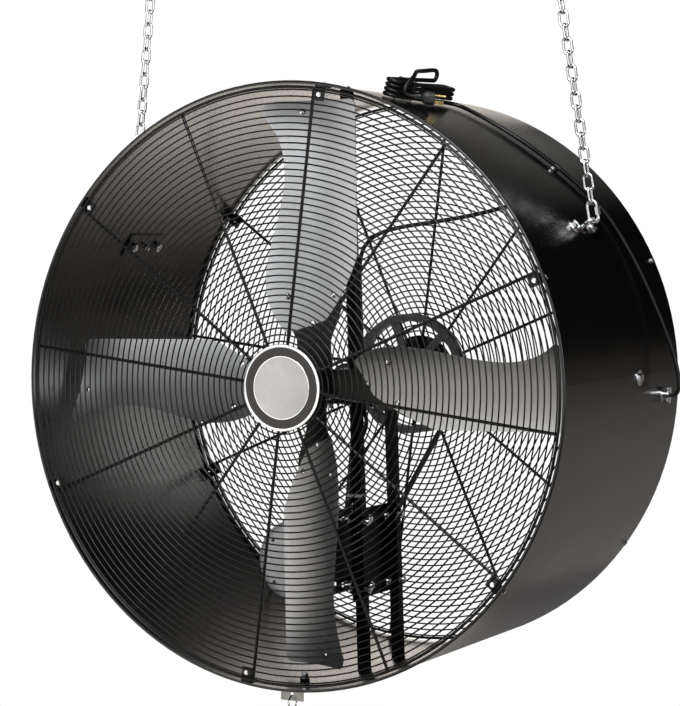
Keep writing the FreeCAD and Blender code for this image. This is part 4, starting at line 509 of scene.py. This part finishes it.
guardPiece("frontGuard", "front_guard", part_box("front_guard")[0].y, 1)
guardPiece("rearGuard", "rear_guard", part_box("rear_guard")[1].y, -1)
print("guards made")

# flat washers under the bolts on the drum's outside: wall angle, depth, radius
washers = {"places": ((-0.42, 75.0, 15.0), (30.0, -45.0, 12.0), (30.0, 45.0, 12.0), (150.0, -45.0, 12.0),
                      (150.0, 45.0, 12.0)),
           "bore": 5.0, "thickness": 1.8, "edge": 0.4, "lift": 0.1, "steps": 32, "sharp": 30.0}
for index, (angle, depth, reach) in enumerate(washers["places"]):
    profile = ((washers["bore"], 0.0), (reach, 0.0), (reach, washers["thickness"] - washers["edge"]),
               (reach - washers["edge"], washers["thickness"]), (washers["bore"], washers["thickness"]),
               (washers["bore"], 0.0))
    outward = onWall(angle, depth, 1.0) - onWall(angle, depth, 0.0)
    washerShape = turnedShape(profile, washers["steps"], onWall(angle, depth, washers["lift"]), outward)
    addPiece("wallWasher" + str(index + 1), washerShape, [zincPlate], washers["sharp"])
print("washers made")

# metres; the floor's own colour shows only in the light that it throws back
studio = {"floorDrop": 0.40, "floorSize": 30.0, "floorColour": (0.8, 0.8, 0.8), "floorRoughness": 0.9,
          "fill": 0.55}


def whiteForCamera(tree):
    path = tree.nodes.new("ShaderNodeLightPath")
    seen = path.outputs["Is Camera Ray"]
    for name in ("Is Glossy Ray", "Is Transmission Ray"):
        either = tree.nodes.new("ShaderNodeMath")
        either.operation = "MAXIMUM"
        tree.links.new(seen, either.inputs[0])
        tree.links.new(path.outputs[name], either.inputs[1])
        seen = either.outputs[0]
    return seen


world = bpy.data.worlds.new("studioWorld")
world.use_nodes = True
worldTree = world.node_tree
fillLight = worldTree.nodes["Background"]
fillLight.inputs["Color"].default_value = (1.0, 1.0, 1.0, 1.0)
fillLight.inputs["Strength"].default_value = studio["fill"]
backdropLight = worldTree.nodes.new("ShaderNodeBackground")
backdropLight.inputs["Color"].default_value = (1.0, 1.0, 1.0, 1.0)
backdropLight.inputs["Strength"].default_value = 1.0
worldMix = worldTree.nodes.new("ShaderNodeMixShader")
worldTree.links.new(whiteForCamera(worldTree), worldMix.inputs["Fac"])
worldTree.links.new(fillLight.outputs[0], worldMix.inputs[1])
worldTree.links.new(backdropLight.outputs[0], worldMix.inputs[2])
worldTree.links.new(worldMix.outputs[0], worldTree.nodes["World Output"].inputs["Surface"])
scene.world = world

paleFloor = bpy.data.materials.new("paleFloor")
paleFloor.use_nodes = True
paleTree = paleFloor.node_tree
paleShader = paleTree.nodes["Principled BSDF"]
paleShader.inputs["Base Color"].default_value = (*studio["floorColour"], 1.0)
paleShader.inputs["Roughness"].default_value = studio["floorRoughness"]
paleGlow = paleTree.nodes.new("ShaderNodeEmission")
paleGlow.inputs["Strength"].default_value = 1.0
paleMix = paleTree.nodes.new("ShaderNodeMixShader")
paleTree.links.new(whiteForCamera(paleTree), paleMix.inputs["Fac"])
paleTree.links.new(paleShader.outputs[0], paleMix.inputs[1])
paleTree.links.new(paleGlow.outputs[0], paleMix.inputs[2])
paleTree.links.new(paleMix.outputs[0], paleTree.nodes["Material Output"].inputs["Surface"])


def floorSheet(height):
    sheet = bmesh.new()
    bmesh.ops.create_grid(sheet, x_segments=2, y_segments=2, size=studio["floorSize"] / 2,
                          matrix=Matrix.Translation((0.0, 0.0, height)))
    return sheet


paleHeight = cadBox[0][2] - studio["floorDrop"]
paleSheet = floorSheet(paleHeight)
floorData = bpy.data.meshes.new("floor")
paleSheet.to_mesh(floorData)
paleSheet.free()
floorData.materials.append(paleFloor)
floorObject = bpy.data.objects.new("floor", floorData)
scene.collection.objects.link(floorObject)

# what only shiny surfaces see: a dim room, darker behind, and its floor with the drum's shade, in metres
room = {"radius": 14.0, "subdivisions": 5,
        "depthSteps": ((0.0, 0.62), (0.30, 0.50), (0.44, 0.34), (0.60, 0.012), (1.0, 0.004)),
        "acrossSteps": ((0.0, 0.40), (0.20, 0.52), (0.45, 1.10), (0.65, 1.2), (0.82, 1.7), (1.0, 1.7)),
        "heightSteps": ((0.0, 1.0), (0.56, 1.0), (0.80, 0.32), (1.0, 0.32))}
# the floor that shiny surfaces see: its glow is brighter on the left, and the drum's shadow is painted into
# it as a dark spot round the shade's middle
roomFloor = {"gap": 0.02, "reach": 4.0, "colour": (1.0, 0.93, 0.85),
             "acrossSteps": ((0.0, 1.4), (0.39, 1.4), (0.47, 0.83), (0.53, 0.22), (1.0, 0.22)),
             "depthSteps": ((0.0, 0.88), (0.42, 0.88), (0.58, 1.5), (1.0, 1.5)),
             "shade": {"middle": (0.95, 2.9), "from": 0.20, "to": 0.80, "level": 0.05}}
# cards in millimetres about the drum's middle: each dims from its fade lines to its right and upper edges
cards = (
    {"name": "leftCard", "from": (-7000.0, -990.0), "to": (-1100.0, 1950.0), "depth": 4500.0, "level": 2.1,
     "fadeAcross": -1100.0, "fadeUp": 1450.0, "colour": (1.0, 0.925, 0.85)},
    {"name": "upperCard", "from": (-3500.0, 1950.0), "to": (1200.0, 2700.0), "depth": 4500.0, "level": 0.46,
     "fadeAcross": -300.0, "fadeUp": 2000.0, "colour": (1.0, 0.98, 0.93)},
    {"name": "rightCard", "from": (700.0, -990.0), "to": (7000.0, 300.0), "depth": 4500.0, "level": 0.36,
     "fadeAcross": 7000.0, "fadeUp": -990.0, "colour": (1.0, 0.93, 0.85)},
    {"name": "rightLowCard", "from": (320.0, -985.0), "to": (1500.0, -310.0), "depth": 1000.0, "level": 0.36,
     "fadeAcross": 1500.0, "fadeUp": -311.0, "colour": (1.0, 0.95, 0.90)},
    {"name": "lowCard", "from": (-1500.0, -985.0), "to": (320.0, -556.0), "depth": 1000.0, "level": 0.17,
     "fadeAcross": 320.0, "fadeUp": -557.0, "colour": (1.0, 0.96, 0.96)},
)
# round glows: place and reach in millimetres, the ends of the fade in metres
spotSides = 48
glowSpots = (
    {"name": "rearGlow", "middle": (140.0, 1200.0, 110.0), "reach": 280.0, "fullTo": 0.08, "goneAt": 0.26,
     "level": 3.6, "colour": (1.0, 0.98, 0.95)},
    {"name": "frontGlow", "middle": (1300.0, -2700.0, 2500.0), "reach": 1550.0, "fullTo": 0.7, "goneAt": 1.5,
     "level": 15.0, "colour": (1.0, 1.0, 1.0)},
)


def glossOnly(name, shape, material):
    data = bpy.data.meshes.new(name)
    shape.to_mesh(data)
    shape.free()
    data.materials.append(material)
    prop = bpy.data.objects.new(name, data)
    scene.collection.objects.link(prop)
    prop.visible_camera = False
    prop.visible_diffuse = False
    prop.visible_transmission = False
    prop.visible_shadow = False


def glowMaterial(name, colour):
    material = bpy.data.materials.new(name)
    material.use_nodes = True
    tree = material.node_tree
    tree.nodes.remove(tree.nodes["Principled BSDF"])
    glow = tree.nodes.new("ShaderNodeEmission")
    glow.inputs["Color"].default_value = (*colour, 1.0)
    tree.links.new(glow.outputs[0], tree.nodes["Material Output"].inputs["Surface"])
    return material, tree, glow


def roomRamp(tree, value, reach, steps):
    spread = tree.nodes.new("ShaderNodeMapRange")
    spread.inputs["From Min"].default_value = -reach
    spread.inputs["From Max"].default_value = reach
    tree.links.new(value, spread.inputs["Value"])
    ramp = tree.nodes.new("ShaderNodeValToRGB")
    while len(ramp.color_ramp.elements) < len(steps):
        ramp.color_ramp.elements.new(0.5)
    for element, (place, level) in zip(ramp.color_ramp.elements, steps):
        element.position = place
        element.color = (level, level, level, 1.0)
    tree.links.new(spread.outputs["Result"], ramp.inputs["Fac"])
    return ramp.outputs["Color"]


def placeParts(tree):
    coords = tree.nodes.new("ShaderNodeTexCoord")
    parts = tree.nodes.new("ShaderNodeSeparateXYZ")
    tree.links.new(coords.outputs["Object"], parts.inputs["Vector"])
    return coords.outputs["Object"], parts.outputs


def distanceFrom(tree, place, spot):
    away = tree.nodes.new("ShaderNodeVectorMath")
    away.operation = "DISTANCE"
    away.inputs[1].default_value = spot
    tree.links.new(place, away.inputs[0])
    return away.outputs["Value"]


def fading(tree, value, start, end, first, last):
    fade = tree.nodes.new("ShaderNodeMapRange")
    fade.inputs["From Min"].default_value = start
    fade.inputs["From Max"].default_value = end
    fade.inputs["To Min"].default_value = first
    fade.inputs["To Max"].default_value = last
    tree.links.new(value, fade.inputs["Value"])
    return fade.outputs["Result"]


def product(tree, first, second):
    times = tree.nodes.new("ShaderNodeMath")
    times.operation = "MULTIPLY"
    tree.links.new(first, times.inputs[0])
    tree.links.new(second, times.inputs[1])
    return times.outputs[0]


roomMaterial, roomTree, roomGlow = glowMaterial("studioRoom", (1.0, 1.0, 1.0))
roomAlong = placeParts(roomTree)[1]
roomLevel = roomRamp(roomTree, roomAlong["Y"], room["radius"], room["depthSteps"])
for axis, steps in (("Z", "heightSteps"), ("X", "acrossSteps")):
    roomLevel = product(roomTree, roomLevel, roomRamp(roomTree, roomAlong[axis], room["radius"], room[steps]))
roomTree.links.new(roomLevel, roomGlow.inputs["Strength"])
roomShape = bmesh.new()
bmesh.ops.create_icosphere(roomShape, subdivisions=room["subdivisions"], radius=room["radius"])
glossOnly("studioRoom", roomShape, roomMaterial)

floorMaterial, floorTree, floorGlow = glowMaterial("roomFloor", roomFloor["colour"])
floorPlace, floorAlong = placeParts(floorTree)
floorHeight = paleHeight + roomFloor["gap"]
acrossLevel = roomRamp(floorTree, floorAlong["X"], roomFloor["reach"], roomFloor["acrossSteps"])
depthLevel = roomRamp(floorTree, floorAlong["Y"], roomFloor["reach"], roomFloor["depthSteps"])
floorLevel = product(floorTree, acrossLevel, depthLevel)
# painted shadow of the drum: the floor's glow drops to the shade's level near its middle
shade = roomFloor["shade"]
shadeAway = distanceFrom(floorTree, floorPlace, (*shade["middle"], floorHeight))
shadeFade = fading(floorTree, shadeAway, shade["from"], shade["to"], shade["level"], 1.0)
floorTree.links.new(product(floorTree, floorLevel, shadeFade), floorGlow.inputs["Strength"])
glossOnly("roomFloor", floorSheet(floorHeight), floorMaterial)

for card in cards:
    cardMaterial, cardTree, cardGlow = glowMaterial(card["name"], card["colour"])
    cardAlong = placeParts(cardTree)[1]
    cardLow = atDrum(card["from"][0], card["depth"], card["from"][1])
    cardHigh = atDrum(card["to"][0], card["depth"], card["to"][1])
    cardFadeSpot = atDrum(card["fadeAcross"], card["depth"], card["fadeUp"])
    # a millimetre more, so that a card whose fade line is its edge keeps its level
    acrossFade = fading(cardTree, cardAlong["X"], cardFadeSpot.x, cardHigh.x + mm, 1.0, 0.0)
    upFade = fading(cardTree, cardAlong["Z"], cardFadeSpot.z, cardHigh.z, card["level"], 0.0)
    cardTree.links.new(product(cardTree, acrossFade, upFade), cardGlow.inputs["Strength"])
    cardShape = bmesh.new()
    cardCorners = ((cardLow.x, cardLow.z), (cardHigh.x, cardLow.z),
                   (cardHigh.x, cardHigh.z), (cardLow.x, cardHigh.z))
    cardShape.faces.new([cardShape.verts.new((x, cardLow.y, z)) for x, z in cardCorners])
    glossOnly(card["name"], cardShape, cardMaterial)

for spot in glowSpots:
    spotMaterial, spotTree, spotGlow = glowMaterial(spot["name"], spot["colour"])
    spotPlace = placeParts(spotTree)[0]
    spotMiddle = atDrum(*spot["middle"])
    spotAway = distanceFrom(spotTree, spotPlace, spotMiddle)
    spotFade = fading(spotTree, spotAway, spot["fullTo"], spot["goneAt"], spot["level"], 0.0)
    spotTree.links.new(spotFade, spotGlow.inputs["Strength"])
    spotShape = bmesh.new()
    bmesh.ops.create_circle(spotShape, cap_ends=True, radius=spot["reach"] * mm, segments=spotSides)
    spotTurn = Matrix.Rotation(math.radians(90), 4, "X")
    bmesh.ops.transform(spotShape, matrix=Matrix.Translation(spotMiddle) @ spotTurn, verts=spotShape.verts[:])
    glossOnly(spot["name"], spotShape, spotMaterial)

# lamps: place in millimetres about the drum's middle, size in metres
lamps = (
    {"name": "leftSoftbox", "place": (-1500.0, -3500.0, 150.0), "size": 2.0, "watts": 16.0},
    {"name": "rightSoftbox", "place": (3300.0, -1500.0, 150.0), "size": 1.3, "watts": 20.0},
    {"name": "upperRightSoftbox", "place": (1450.0, -3000.0, 2200.0), "size": 1.2, "watts": 24.0},
    {"name": "overheadSoftbox", "place": (200.0, -300.0, 2900.0), "size": 1.6, "watts": 20.0},
)
for lamp in lamps:
    lampData = bpy.data.lights.new(lamp["name"], "AREA")
    lampData.size = lamp["size"]
    lampData.energy = lamp["watts"]
    lampObject = bpy.data.objects.new(lamp["name"], lampData)
    scene.collection.objects.link(lampObject)
    lampPlace = atDrum(*lamp["place"])
    aim = atDrum(0.0, 0.0, 0.0) - lampPlace
    lampTurn = aim.to_track_quat("-Z", "Y").to_matrix().to_4x4()
    lampObject.matrix_world = Matrix.Translation(lampPlace) @ lampTurn
print("studio set")

print("cad box", cadBox)
